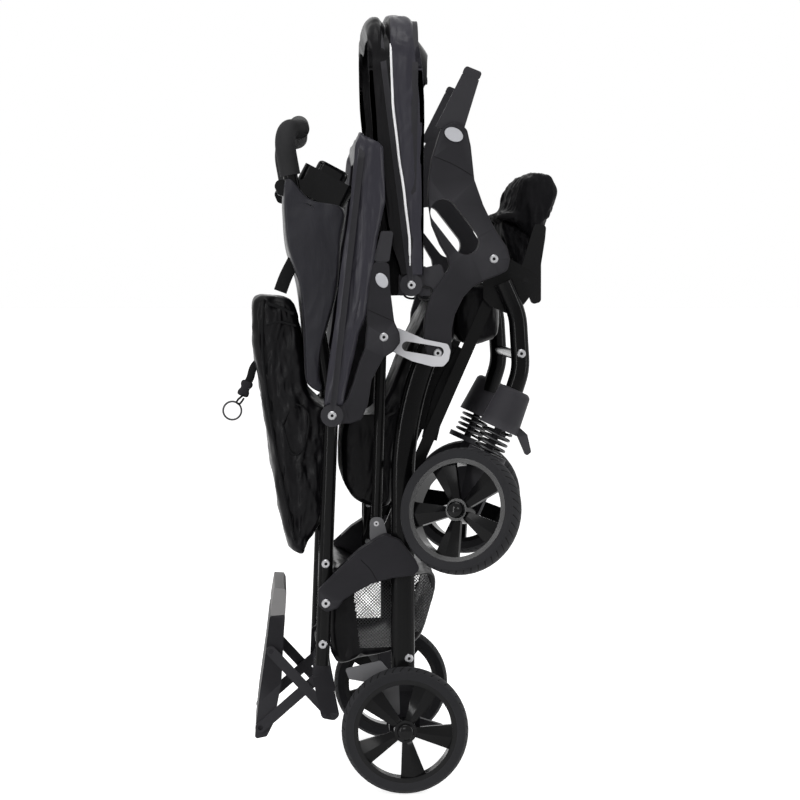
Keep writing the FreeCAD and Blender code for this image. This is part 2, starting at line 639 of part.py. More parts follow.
def rear_arm():
    """The smaller arm that carries the rear seat and the latch."""
    outline = spread(REAR_ARM_SHARES, REAR_PLACE, REAR_ARM_LENGTH, REAR_ARM_HEIGHT)
    body = slab(outline, REAR_ARM_Y, REAR_ARM_DEPTH, REAR_ARM_ROUND)
    body = body.makeFillet(EDGE_ROUND, rim_edges(body, REAR_ARM_Y + REAR_ARM_DEPTH / 2))
    body = body.cut(pin(REAR_PIVOT_X, REAR_PIVOT_Z, 0, REAR_ARM_Y + REAR_ARM_DEPTH, PIN_RADIUS))
    body = body.cut(pin(STRUT_TOP_X, STRUT_TOP_Z, 0, REAR_ARM_Y + REAR_ARM_DEPTH, PIN_RADIUS + RUNNING_GAP))
    top = max(z for _, z in outline)
    right = max(x for x, z in outline if z == top)
    cap = slab([(right - REAR_CAP_WIDTH, top), (right, top), (right + CAP_HEIGHT / 2, top + REAR_CAP_HEIGHT),
                (right - REAR_CAP_WIDTH / 2, top + REAR_CAP_HEIGHT)], REAR_ARM_Y, POST_DEPTH, CAP_HEIGHT / 3)
    return body, cap


def handle_path(side):
    """The side leg of the handle, from its foot to its shoulder."""
    y = side * TUBE_Y
    return [at(HANDLE_FOOT_X, HANDLE_FOOT_Z, y), at(HANDLE_KNEE_X, HANDLE_KNEE_Z, y),
            at(HANDLE_SHOULDER_X, HANDLE_SHOULDER_Z, y)]


def leg_split():
    """The place on the side leg where the foam starts."""
    knee = at(HANDLE_KNEE_X, HANDLE_KNEE_Z, TUBE_Y)
    shoulder = at(HANDLE_SHOULDER_X, HANDLE_SHOULDER_Z, TUBE_Y)
    share = (FOAM_FOOT_Z - HANDLE_KNEE_Z) / (HANDLE_SHOULDER_Z - HANDLE_KNEE_Z)
    return knee.add(shoulder.sub(knee).multiply(share))


def handle():
    """Two side legs, the bar between them and the foam over the bar."""
    split = leg_split()
    foot, knee = handle_path(1)[:2]
    leg = bent_tube([foot, knee, split], HANDLE_TUBE_RADIUS, 3 * HANDLE_BEND)
    leg = leg.cut(pin(ELBOW_PIVOT_X, ELBOW_PIVOT_Z, 0, TUBE_Y + ARM_DEPTH, PIN_RADIUS + RUNNING_GAP))
    leg = leg.cut(pin(REAR_PIVOT_X, REAR_PIVOT_Z, 0, TUBE_Y + ARM_DEPTH, PIN_RADIUS + RUNNING_GAP))
    shoulder = handle_path(1)[2]
    bar_end = at(HANDLE_BAR_X, HANDLE_BAR_Z, HANDLE_BAR_Y)
    crown = at(HANDLE_BAR_X, HANDLE_BAR_Z + HANDLE_CROWN_RISE, HANDLE_CROWN_Y)
    half = [split, shoulder, bar_end, crown]
    route = half + [mirrored(point) for point in reversed(half)]
    bar = bent_tube(route, HANDLE_TUBE_RADIUS, HANDLE_BEND)
    foam = bent_tube(route, FOAM_RADIUS, HANDLE_BEND).cut(bar)
    add_pair("handle_legs", leg)
    pieces["handle_bar"] = bar
    pieces["handle_foam"] = foam


def mirrored(point):
    """The same place on the other side."""
    return Vector(point.x, -point.y, point.z)


def wheel(spoke_start=SPOKE_START_ANGLE):
    """A tyre and a rim about the Y axis, at the origin. The outer face looks to positive Y."""
    radius = WHEEL_DIAMETER / 2
    seat = radius - TYRE_DEPTH
    half = TYRE_WIDTH / 2
    crown = radius - TYRE_DEPTH / 3
    side = Part.Wire([
        Part.LineSegment(Vector(seat, -RIM_WIDTH / 2, 0), Vector(crown, -half, 0)).toShape(),
        Part.Arc(Vector(crown, -half, 0), Vector(radius, 0, 0), Vector(crown, half, 0)).toShape(),
        Part.LineSegment(Vector(crown, half, 0), Vector(seat, RIM_WIDTH / 2, 0)).toShape(),
        Part.LineSegment(Vector(seat, RIM_WIDTH / 2, 0), Vector(seat, -RIM_WIDTH / 2, 0)).toShape()])
    tyre = Part.Face(side).revolve(Vector(0, 0, 0), Y_AXIS, FULL_TURN)
    ring = Part.makeCylinder(seat, RIM_WIDTH, Vector(0, -RIM_WIDTH / 2, 0), Y_AXIS)
    ring = ring.cut(Part.makeCylinder(seat - RIM_WALL, RIM_WIDTH, Vector(0, -RIM_WIDTH / 2, 0), Y_AXIS))
    hub = Part.makeCylinder(HUB_RADIUS, HUB_LENGTH, Vector(0, -HUB_LENGTH / 2, 0), Y_AXIS)
    rim = ring.fuse(hub)
    for index in range(SPOKE_COUNT):
        spoke = one_spoke(seat)
        spoke.rotate(Vector(0, 0, 0), Y_AXIS, -spoke_start - index * FULL_TURN / SPOKE_COUNT)
        rim = rim.fuse(spoke)
    bore = Part.makeCylinder(AXLE_RADIUS + RUNNING_GAP, HUB_LENGTH, Vector(0, -HUB_LENGTH / 2, 0), Y_AXIS)
    rim = rim.cut(bore)
    cap = Part.makeCylinder(HUB_CAP_RADIUS, HUB_CAP_RISE, Vector(0, HUB_LENGTH / 2, 0), Y_AXIS)
    return tyre, rim, cap


def one_spoke(seat):
    """A flared spoke with a ridge down its outer face."""
    def section(x, width):
        back = RIM_WIDTH / 2 - RIM_LIP - SPOKE_DEPTH
        face = back + SPOKE_DEPTH - SPOKE_RIDGE
        ridge = back + SPOKE_DEPTH
        corners = [(-width / 2, back), (width / 2, back), (width / 2, face), (0, ridge), (-width / 2, face)]
        return Part.makePolygon([Vector(x, y, z) for z, y in corners + corners[:1]])

    inner = HUB_RADIUS / 2
    outer = seat - RIM_WALL / 2
    return Part.makeLoft([section(inner, SPOKE_INNER_WIDTH), section(outer, SPOKE_OUTER_WIDTH)], True, True)


def rear_wheels():
    """The two rear wheels on their axle."""
    tyre, rim, cap = wheel()
    centre = at(0, WHEEL_DIAMETER / 2, REAR_WHEEL_Y)
    for shape in (tyre, rim, cap):
        shape.translate(centre)
    add_each("rear_tyre", tyre)
    add_each("rear_rim", rim, cap)


def pins():
    """The pivot pins and screw heads, grouped by the piece that holds them."""
    arm_outer = ARM_Y + ARM_DEPTH / 2
    elbow_outer = ELBOW_Y + ELBOW_DEPTH / 2
    strut_low = STRUT_Y - STRUT_RADIUS
    frame_pins = [
        headed_pin(ELBOW_PIVOT_X, ELBOW_PIVOT_Z, ELBOW_Y - ELBOW_DEPTH / 2, elbow_outer),
        headed_pin(LEG_PIVOT_X, LEG_PIVOT_Z, lug_plane() - LEG_LUG_THICKNESS / 2 - HEAD_RISE, arm_outer),
        headed_pin(CANOPY_PIVOT_X, CANOPY_PIVOT_Z, ARM_Y - CLIP_DEPTH / 2, FRONT_BOW_Y + BOW_THICKNESS / 2),
        pin(KNUCKLE_X, KNUCKLE_Z, strut_low - HEAD_RISE, bracket_plane() + BRACKET_THICKNESS / 2),
        screw_head(*on_arm(ARM_SCREW_SHARE), arm_outer),
        screw_head(TUBE_SCREW_X, TUBE_SCREW_Z, TUBE_Y + MAIN_TUBE_DEPTH / 2)]
    pieces["frame_pins"] = both_sides(frame_pins)
    tube_outer = TUBE_Y + HANDLE_TUBE_RADIUS
    handle_pins = [screw_head(*on_leg(share), tube_outer) for share in HANDLE_SCREW_SHARES]
    pieces["handle_screws"] = both_sides(handle_pins)
    pieces["rear_arm_pins"] = both_sides(
        [headed_pin(*REAR_PLACE, TUBE_Y - HANDLE_TUBE_RADIUS, REAR_CANOPY_HALF_WIDTH - SIDE_CLOTH - CLEARANCE)])
    pieces["strut_pins"] = both_sides([
        headed_pin(STRUT_TOP_X, STRUT_TOP_Z, strut_low, REAR_ARM_Y + REAR_ARM_DEPTH / 2),
        pin(KNUCKLE_X + LINK_LUG_X, KNUCKLE_Z + LINK_LUG_Z, LINK_Y - LINK_THICKNESS, STRUT_Y + STRUT_RADIUS)])


def screw_head(x, z, plane):
    """A low round screw head that stands on a side plane."""
    base = pin(x, z, plane, plane + HEAD_RISE, HEAD_RADIUS)
    top = [edge for edge in base.Edges if edge.BoundBox.YMin > plane + HEAD_RISE / 2 and edge.Closed]
    return base.makeChamfer(HEAD_RISE / 2, top)


def headed_pin(x, z, low, high):
    """A pivot pin with a screw head outside."""
    return pin(x, z, low, high).fuse(screw_head(x, z, high))


def lug_plane():
    """The middle of the front leg's inner plate, just inside the arm."""
    return ARM_Y - ARM_DEPTH / 2 - CLEARANCE - LEG_LUG_THICKNESS / 2


def bracket_plane():
    """The middle of the elbow's inner plate, which carries the strut."""
    return ELBOW_Y - ELBOW_DEPTH / 2 - BRACKET_THICKNESS / 2


def strut_set(tube):
    """The thin strut of the folding parallelogram, its plate on the elbow and the long cross link."""
    top = at(STRUT_TOP_X, STRUT_TOP_Z, STRUT_Y)
    tail = at(KNUCKLE_X + LINK_LUG_X, KNUCKLE_Z + LINK_LUG_Z, STRUT_Y)
    along = top.sub(tail).normalize().multiply(STRUT_RADIUS * 1.5)
    strut = rod(tail.sub(along), top.add(along), STRUT_RADIUS)
    strut = strut.cut(pin(STRUT_TOP_X, STRUT_TOP_Z, 0, TUBE_Y, PIN_RADIUS))
    strut = strut.cut(pin(tail.x, tail.z, 0, TUBE_Y, PIN_RADIUS))
    strut = strut.cut(pin(KNUCKLE_X, KNUCKLE_Z, 0, TUBE_Y, PIN_RADIUS + RUNNING_GAP))
    add_pair("struts", strut)
    reach = PIN_RADIUS * 2.5
    outline = [(KNUCKLE_X - reach, KNUCKLE_Z - ELBOW_HEIGHT / 4), (KNUCKLE_X - reach, KNUCKLE_Z + reach),
               (KNUCKLE_X + reach, KNUCKLE_Z + reach), (KNUCKLE_X + 2 * reach, KNUCKLE_Z - ELBOW_HEIGHT / 4)]
    plate = slab(outline, bracket_plane(), BRACKET_THICKNESS, reach)
    add_pair("strut_plates", plate.cut(pin(KNUCKLE_X, KNUCKLE_Z, 0, TUBE_Y, PIN_RADIUS)))
    head = at(LEG_PIVOT_X + LINK_LUG_X, LEG_PIVOT_Z + LINK_LUG_Z)
    add_pair("cross_links", bar_link(tail, head, LINK_Y, LINK_WIDTH, LINK_THICKNESS, PIN_RADIUS + RUNNING_GAP))


def flat_bar(first, second, plane, width, thickness):
    """A flat bar with round ends about two places."""
    angle = math.degrees(math.atan2(second.z - first.z, second.x - first.x))
    span = math.hypot(second.x - first.x, second.z - first.z)
    wire = slot_wire((first.x + second.x) / 2, (first.z + second.z) / 2, plane - thickness / 2, span + width, width,
                     angle)
    return Part.Face(wire).extrude(Vector(0, thickness, 0))


def bar_link(first, second, plane, width, thickness, bore):
    """A flat bar with a bore at each of its round ends."""
    link = flat_bar(first, second, plane, width, thickness)
    for end in (first, second):
        link = link.cut(pin(end.x, end.z, 0, 2 * TUBE_Y, bore))
    return link


def front_leg(swivels):
    """The front leg tube, its plate, the sprung boot and the caster under it."""
    route = spread(LEG_ROUTE_SHARES, LEG_PLACE, LEG_ROUTE_LENGTH, LEG_ROUTE_HEIGHT)
    path = [at(x, z, TUBE_Y) for x, z in route]
    tube = bent_tube(path, LEG_TUBE_RADIUS, LEG_BEND)
    outline = spread(LEG_PLATE_SHARES, LEG_PLACE, LEG_PLATE_LENGTH, LEG_PLATE_HEIGHT)
    plate = slab(outline, lug_plane(), LEG_LUG_THICKNESS, PIN_RADIUS * 2)
    for x, z in ((LEG_PIVOT_X, LEG_PIVOT_Z), (LEG_REST_X, LEG_REST_Z)):
        plate = plate.cut(pin(x, z, 0, TUBE_Y * 2, PIN_RADIUS + RUNNING_GAP))
    lug_pin = pin(LEG_PIVOT_X + LINK_LUG_X, LEG_PIVOT_Z + LINK_LUG_Z, LINK_Y - LINK_THICKNESS,
                  lug_plane() - LEG_LUG_THICKNESS / 2)
    add_pair("leg_tubes", tube, plate.cut(tube))
    boot = boot_shape()
    boot = placed_caster(boot, 0).cut(tube)
    add_pair("caster_boots", boot)
    bolts = [lug_pin, screw_head(LEG_SCREW_X, LEG_SCREW_Z, TUBE_Y + LEG_TUBE_RADIUS)]
    pieces["leg_screws"] = both_sides(bolts)
    low = path[2]
    pieces["leg_crossbar"] = rod(at(low.x, low.z + CROSSBAR_LIFT, -TUBE_Y + LEG_TUBE_RADIUS),
                                 at(low.x, low.z + CROSSBAR_LIFT, TUBE_Y - LEG_TUBE_RADIUS), CROSSBAR_RADIUS)
    spring = coil_spring()
    fork = caster_fork()
    tyre, rim, cap = wheel()
    axle_place = Vector(CASTER_TRAIL, CASTER_OFFSET, -CASTER_DROP)
    for shape in (tyre, rim, cap):
        shape.translate(axle_place)
    groups = {"caster_spring": [spring], "caster_fork": [fork], "front_tyre": [tyre], "front_rim": [rim, cap]}
    for side, swivel in swivels:
        for name, shapes in groups.items():
            placed = [placed_caster(shape, swivel) for shape in shapes]
            if side == "right":
                placed = [flipped(shape) for shape in placed]
            pieces[name + "_" + side] = Part.makeCompound(placed)


def placed_caster(shape, swivel):
    """Put a shape of the caster's own frame, stem along Z, into its place on the left side."""
    piece = shape.copy()
    piece.rotate(Vector(0, 0, 0), Z_AXIS, swivel)
    piece.rotate(Vector(0, 0, 0), Y_AXIS, CASTER_TILT)
    piece.translate(at(STEM_X, STEM_Z, STEM_Y))
    return piece


def boot_shape():
    """The tapered boot over the stem, with its swivel lock lever."""
    height = BOOT_TOP_HEIGHT - BOOT_FOOT_HEIGHT
    boot = Part.makeCone(BOOT_FOOT_RADIUS, BOOT_TOP_RADIUS, height, Vector(0, 0, BOOT_FOOT_HEIGHT), Z_AXIS)
    boot = boot.makeFillet(BOOT_TOP_RADIUS / 3, [edge for edge in boot.Edges if edge.Closed
                                                 and edge.BoundBox.ZMin > BOOT_FOOT_HEIGHT + height / 2])
    half = LEVER_WIDTH / 2
    reach = BOOT_FOOT_RADIUS
    outline = [(reach / 2, BOOT_FOOT_HEIGHT + LEVER_WIDTH), (reach / 2, BOOT_FOOT_HEIGHT + CLEARANCE),
               (reach, BOOT_FOOT_HEIGHT + CLEARANCE), (reach + LEVER_LENGTH, BOOT_FOOT_HEIGHT - LEVER_DROP),
               (reach + LEVER_LENGTH + half / 2, BOOT_FOOT_HEIGHT - LEVER_DROP + half),
               (reach + LEVER_LENGTH / 2, BOOT_FOOT_HEIGHT + half)]
    lever = slab(outline, 0, LEVER_WIDTH, CLEARANCE * 10)
    bore = Part.makeCylinder(STEM_RADIUS + RUNNING_GAP, STEM_LENGTH, Vector(0, 0, 0), Z_AXIS)
    return boot.fuse(lever).cut(bore)


def caster_fork():
    """The stem, its crown and the one-sided arm with the wheel's axle."""
    stem = Part.makeCylinder(STEM_RADIUS, STEM_LENGTH - CLEARANCE + CROWN_DROP, Vector(0, 0, -CROWN_DROP), Z_AXIS)
    crown = Part.makeCylinder(CROWN_RADIUS, CROWN_HEIGHT, Vector(0, 0, -CROWN_DROP), Z_AXIS)
    arm_y = CASTER_OFFSET - TYRE_WIDTH / 2 - CASTER_ARM_THICKNESS
    top = -CROWN_DROP + CROWN_HEIGHT / 2
    outline = [(-CROWN_RADIUS / 2, top), (CROWN_RADIUS * 0.7, top), (CASTER_TRAIL + HUB_RADIUS, -CASTER_DROP / 2),
               (CASTER_TRAIL + HUB_RADIUS, -CASTER_DROP), (CASTER_TRAIL, -CASTER_DROP - HUB_RADIUS),
               (CASTER_TRAIL - HUB_RADIUS, -CASTER_DROP)]
    arm = slab(outline, arm_y, CASTER_ARM_THICKNESS, HUB_RADIUS * 0.9)
    axle_start = arm_y
    axle = Part.makeCylinder(AXLE_RADIUS, CASTER_OFFSET + HUB_LENGTH / 2 - CLEARANCE - axle_start,
                             Vector(CASTER_TRAIL, axle_start, -CASTER_DROP), Y_AXIS)
    collar = Part.makeCylinder(AXLE_RADIUS * 1.8, CASTER_OFFSET - HUB_LENGTH / 2 - CLEARANCE - axle_start,
                               Vector(CASTER_TRAIL, axle_start, -CASTER_DROP), Y_AXIS)
    return stem.fuse(crown).fuse(arm).fuse(axle).fuse(collar)


def coil_spring():
    """The suspension spring, one unbroken wire of quarter turn arcs between its two flat ends."""
    low = -CROWN_DROP + CROWN_HEIGHT + SPRING_WIRE / 2 + CLEARANCE
    high = BOOT_FOOT_HEIGHT - SPRING_WIRE / 2 - CLEARANCE
    steps = int(SPRING_TURNS * 4)
    rise = (high - low) / steps
    slope = rise / (SPRING_RADIUS * math.pi / 2)

    def place(step):
        angle = step * math.pi / 2
        return Vector(SPRING_RADIUS * math.cos(angle), SPRING_RADIUS * math.sin(angle), low + rise * step)

    def heading(step):
        angle = step * math.pi / 2
        return Vector(-math.sin(angle), math.cos(angle), slope).normalize()

    edges = []
    for step in range(steps):
        edges.extend(biarc(place(step), heading(step), place(step + 1), heading(step + 1)))
    print("spring gap between turns", round(4 * rise - SPRING_WIRE, 2))
    ring = Part.Wire(Part.makeCircle(SPRING_WIRE / 2, place(0), heading(0)))
    return Part.Wire(edges).makePipeShell([ring], True, False)


def biarc(start, start_way, end, end_way):
    """Two tangent arcs from one place and heading to another."""
    chord = end.sub(start)
    both = start_way.add(end_way)
    a = 4 - both.dot(both)
    b = 2 * chord.dot(both)
    reach = (-b + math.sqrt(b * b + 4 * a * chord.dot(chord))) / (2 * a)
    first = start.add(Vector(start_way).multiply(reach))
    second = end.sub(Vector(end_way).multiply(reach))
    joint = first.add(second).multiply(0.5)
    return [corner_arc(start, first, joint), corner_arc(joint, second, end)]


def corner_arc(start, corner, end):
    """The arc that leaves one place towards a corner and arrives from it."""
    back = start.sub(corner)
    on = end.sub(corner)
    half = back.getAngle(on) / 2
    radius = back.Length * math.tan(half)
    middle = corner.add(back.normalize().add(on.normalize()).normalize().multiply(radius / math.sin(half) - radius))
    return Part.Arc(start, middle, end).toShape()


def rear_axle(tube):
    """The stub axles, the moulded blocks that join them to the side tubes, the grey plates and brake levers."""
    centre_z = WHEEL_DIAMETER / 2
    end = REAR_WHEEL_Y + HUB_LENGTH / 2 - CLEARANCE
    lever_y = TUBE_Y - BLOCK_DEPTH / 2 - CLEARANCE - BRAKE_WIDTH / 2
    axle = pin(0, centre_z, lever_y - BRAKE_WIDTH / 2 - AXLE_RADIUS, end, AXLE_RADIUS)
    add_pair("rear_axle", axle)
    outline = spread(AXLE_BLOCK_SHARES, AXLE_PLACE, AXLE_BLOCK_LENGTH, AXLE_BLOCK_HEIGHT)
    block = slab(outline, TUBE_Y, BLOCK_DEPTH, BLOCK_DEPTH / 3)
    block = block.fuse(pin(0, centre_z, TUBE_Y, REAR_WHEEL_Y - HUB_LENGTH / 2 - CLEARANCE, AXLE_RADIUS * 2))
    add_pair("axle_blocks", block.cut(tube).cut(axle))
    plate = slab(spread(GREY_PLATE_SHARES, AXLE_PLACE, GREY_PLATE_LENGTH, GREY_PLATE_HEIGHT),
                 TUBE_Y + BLOCK_DEPTH / 2 + PLATE_THICKNESS / 2, PLATE_THICKNESS, PIN_RADIUS)
    add_pair("grey_plates", plate.cut(axle))
    lever = slab(spread(BRAKE_LEVER_SHARES, AXLE_PLACE, BRAKE_LEVER_LENGTH, BRAKE_LEVER_HEIGHT), lever_y,
                 BRAKE_WIDTH, PIN_RADIUS)
    add_pair("brake_levers", lever.cut(pin(0, centre_z, 0, end, AXLE_RADIUS + RUNNING_GAP)))


def leg_rest():
    """The padded leg rest on its two arms and its shaft."""
    pad = slab(spread(REST_SHARES, REST_PLACE, REST_LENGTH, REST_HEIGHT), 0, 2 * PAD_HALF_WIDTH, SOFT_ROUND)
    arm_plane = PAD_HALF_WIDTH + CLEARANCE + REST_ARM_THICKNESS / 2
    shaft_end = lug_plane() + LEG_LUG_THICKNESS / 2
    shaft = rod(at(LEG_REST_X, LEG_REST_Z, -shaft_end), at(LEG_REST_X, LEG_REST_Z, shaft_end), PIN_RADIUS)
    arm = slab(spread(REST_ARM_SHARES, REST_PLACE, REST_ARM_LENGTH, REST_ARM_HEIGHT), arm_plane,
               REST_ARM_THICKNESS, PIN_RADIUS * 1.5).cut(shaft)
    pieces["leg_rest_pad"] = pad.cut(shaft)
    pieces["leg_rest_arms"] = Part.makeCompound([arm, flipped(arm), shaft])


def latch():
    """The grey slotted fold latch beside the arm's lower end."""
    body = slab(spread(LATCH_OUTLINE_SHARES, STRUT_TOP_PLACE, LATCH_LENGTH, LATCH_HEIGHT), LATCH_Y, LATCH_THICKNESS,
                PIN_RADIUS * 1.5)
    slot_place = spread([LATCH_SLOT_SHARE], STRUT_TOP_PLACE, LATCH_LENGTH, LATCH_HEIGHT)[0]
    opening = Part.Face(slot_wire(*slot_place, 0, LATCH_SLOT_LENGTH, LATCH_SLOT_WIDTH,
                                  LATCH_SLOT_ANGLE)).extrude(Vector(0, 2 * LATCH_Y, 0))
    body = body.cut(opening).cut(pin(STRUT_TOP_X, STRUT_TOP_Z, 0, 2 * LATCH_Y, PIN_RADIUS + RUNNING_GAP))
    pieces["fold_latch"] = flipped(body)


def platform():
    """The standing platform, its tread and its crossed links, hung on the handle's feet."""
    link_inner = PLATFORM_HALF_WIDTH + CLEARANCE + CROSS_LINK_THICKNESS / 2
    link_outer = link_inner + CROSS_LINK_THICKNESS + CLEARANCE
    bracket_y = link_outer + CROSS_LINK_THICKNESS + CLEARANCE
    foot = at(LINK_FOOT_X, LINK_FOOT_Z)
    head = at(LINK_HEAD_X, LINK_HEAD_Z)
    high = at(PLATE_HIGH_X, PLATE_HIGH_Z)
    low = at(PLATE_LOW_X, PLATE_LOW_Z)
    add_pair("outer_cross_arms", bar_link(foot, high, link_outer, CROSS_LINK_WIDTH, CROSS_LINK_THICKNESS,
                                         PIN_RADIUS + RUNNING_GAP))
    add_pair("inner_cross_arms", bar_link(head, low, link_inner, CROSS_LINK_WIDTH, CROSS_LINK_THICKNESS,
                                         PIN_RADIUS + RUNNING_GAP))
    bracket = slab(spread(PLATFORM_BRACKET_SHARES, LINK_FOOT_PLACE, HANGER_LENGTH, HANGER_HEIGHT), bracket_y,
                   CROSS_LINK_THICKNESS, PIN_RADIUS * 2)
    outer = bracket_y + CROSS_LINK_THICKNESS / 2
    bracket = bracket.fuse(pin(foot.x, foot.z, link_outer - CROSS_LINK_THICKNESS / 2, outer))
    bracket = bracket.fuse(pin(head.x, head.z, link_inner - CROSS_LINK_THICKNESS / 2, outer))
    bar_x, bar_z = on_leg(CROSS_TUBE_SHARE)
    bar_end = TUBE_Y - HANDLE_TUBE_RADIUS
    bar = rod(at(bar_x, bar_z, -bar_end), at(bar_x, bar_z, bar_end), CROSS_TUBE_RADIUS)
    bracket = bracket.cut(bar)
    pieces["platform_hanger"] = Part.makeCompound([bracket, flipped(bracket), bar])
    outline, pocket, tread = [spread(shares, PLATE_HIGH_PLACE, PLATFORM_LENGTH, PLATFORM_HEIGHT)
                              for shares in (PLATFORM_OUTLINE_SHARES, PLATFORM_POCKET_SHARES, TREAD_OUTLINE_SHARES)]
    body = slab(outline, 0, 2 * PLATFORM_HALF_WIDTH, PIN_RADIUS)
    pitch = 2 * (PLATFORM_HALF_WIDTH - RIB_THICKNESS) / POCKET_COUNT
    for index in range(POCKET_COUNT):
        middle = pitch * (index - (POCKET_COUNT - 1) / 2)
        body = body.cut(slab(pocket, middle, pitch - RIB_THICKNESS, PIN_RADIUS / 2))
    stub = pin(high.x, high.z, PLATFORM_HALF_WIDTH - RIB_THICKNESS, link_outer + CROSS_LINK_THICKNESS / 2)
    body = body.fuse(stub).fuse(flipped(stub))
    pieces["platform_body"] = body
    pieces["platform_tread"] = slab(tread, 0, 2 * PLATFORM_HALF_WIDTH, PIN_RADIUS / 2).cut(body)


def tray():
    """The parent tray: a moulded body with two cup wells, a lidded middle box and its clamps."""
    size = Vector(TRAY_DEPTH, 2 * TRAY_HALF_WIDTH, TRAY_HEIGHT)
    body = rounded_box(size, Vector(0, 0, 0), TRAY_ROUND)
    well_depth = TRAY_HEIGHT - TRAY_WALL
    for side in (1, -1):
        body = body.cut(Part.makeCylinder(CUP_RADIUS, well_depth,
                                          Vector(0, side * CUP_Y, TRAY_HEIGHT / 2 - well_depth), Z_AXIS))
    middle = 2 * (CUP_Y - CUP_RADIUS - TRAY_WALL)
    box = Vector(LID_LENGTH - 2 * LID_OVERLAP, middle - 2 * LID_OVERLAP, well_depth)
    body = body.cut(rounded_box(box, Vector(0, 0, TRAY_HEIGHT / 2 - well_depth / 2), TRAY_ROUND / 2))
    lid = rounded_box(Vector(LID_LENGTH, middle, LID_THICKNESS),
                      Vector(0, 0, TRAY_HEIGHT / 2 + LID_THICKNESS / 2 + CLEARANCE), TRAY_ROUND)
    lid = lid.makeFillet(LID_ROUND, [edge for edge in lid.Edges if edge.BoundBox.ZMin > TRAY_HEIGHT / 2 + LID_ROUND])
    body = placed_tray(body)
    clamp = tray_clamp()
    pieces["parent_tray"] = Part.makeCompound([body, clamp, flipped(clamp)])
    pieces["tray_lid"] = placed_tray(lid)


def placed_tray(shape):
    """Put a shape of the tray's own frame into its place between the handle legs."""
    shape.rotate(Vector(0, 0, 0), Y_AXIS, TRAY_TILT)
    shape.translate(at(TRAY_X, TRAY_Z))
    return shape


def tray_clamp():
    """The plate that fixes one end of the tray to the handle leg."""
    foam_gap = TUBE_Y - HANDLE_TUBE_RADIUS
    outline = spread(TRAY_CLAMP_SHARES, TRAY_PLACE, TRAY_CLAMP_LENGTH, TRAY_CLAMP_HEIGHT)
    return slab(outline, (TRAY_HALF_WIDTH + foam_gap) / 2, foam_gap - TRAY_HALF_WIDTH, PIN_RADIUS * 2)


def arch_face(half_width, rise, corner, plane):
    """The area under an arch: two upright sides and a flat top with round corners."""
    turn = corner * (1 - math.sqrt(0.5))
    foot = Vector(plane, half_width, 0)
    spring = Vector(plane, half_width, rise - corner)
    crown = Vector(plane, half_width - corner, rise)
    middle = Vector(plane, half_width - turn, rise - turn)
    return Part.Face(Part.Wire([
        Part.LineSegment(foot, spring).toShape(), Part.Arc(spring, middle, crown).toShape(),
        Part.LineSegment(crown, mirrored(crown)).toShape(),
        Part.Arc(mirrored(crown), mirrored(middle), mirrored(spring)).toShape(),
        Part.LineSegment(mirrored(spring), mirrored(foot)).toShape(),
        Part.LineSegment(mirrored(foot), foot).toShape()]))


def arch_solid(half_width, rise, corner, low, high):
    """The space under an arch, from one place along X to another."""
    return arch_face(half_width, rise, corner, low).extrude(Vector(high - low, 0, 0))


def bow(pivot, tip, half_width, corner):
    """A flat bow that leans from its pivots to its tip, with round corners."""
    rise = math.hypot(tip[0] - pivot[0], tip[1] - pivot[1])
    outer = arch_solid(half_width, rise, corner, -BOW_WIDTH / 2, BOW_WIDTH / 2)
    inner = arch_solid(half_width - BOW_THICKNESS, rise - BOW_THICKNESS, corner - BOW_THICKNESS, -BOW_WIDTH,
                       BOW_WIDTH)
    frame = outer.cut(inner)
    frame.rotate(Vector(0, 0, 0), Y_AXIS, math.degrees(math.atan2(tip[0] - pivot[0], tip[1] - pivot[1])))
    frame.translate(at(*pivot))
    return frame


def canopy(name, shares, size, half_width, corner, pivot, hub_low):
    """A folded canopy: thin side cloths that thicken into a roof, on flat bows with round hubs."""
    outline, bows = [spread(table, pivot, *size) for table in shares]
    low_x, high_x = pivot[0] - 2 * size[0], pivot[0] + 2 * size[0]
    base = min(z for _, z in outline)
    rise = max(z for _, z in outline) - base
    outer = arch_solid(half_width, rise, corner, low_x, high_x)
    inner = arch_solid(half_width - SIDE_CLOTH, rise - ROOF_DEPTH, corner, low_x, high_x)
    band = outer.cut(inner)
    band.translate(at(0, base))
    cloth = slab(outline, 0, 2 * half_width, CANOPY_ROUND).common(band)
    cloth = cloth.cut(pin(*pivot, -2 * half_width, 2 * half_width, HEAD_RADIUS + CLEARANCE))
    bow_half_width = half_width - SIDE_CLOTH - CLEARANCE
    hub = pin(*pivot, hub_low, bow_half_width, HUB_DISC_RADIUS)
    bore = pin(*pivot, -2 * half_width, 2 * half_width, PIN_RADIUS + RUNNING_GAP)
    frame = hub.fuse(flipped(hub))
    for tip in bows:
        frame = frame.fuse(bow(pivot, tip, bow_half_width, corner))
    frame = frame.cut(bore)
    pieces[name + "_bows"] = frame
    pieces[name + "_cloth"] = cloth.cut(frame)


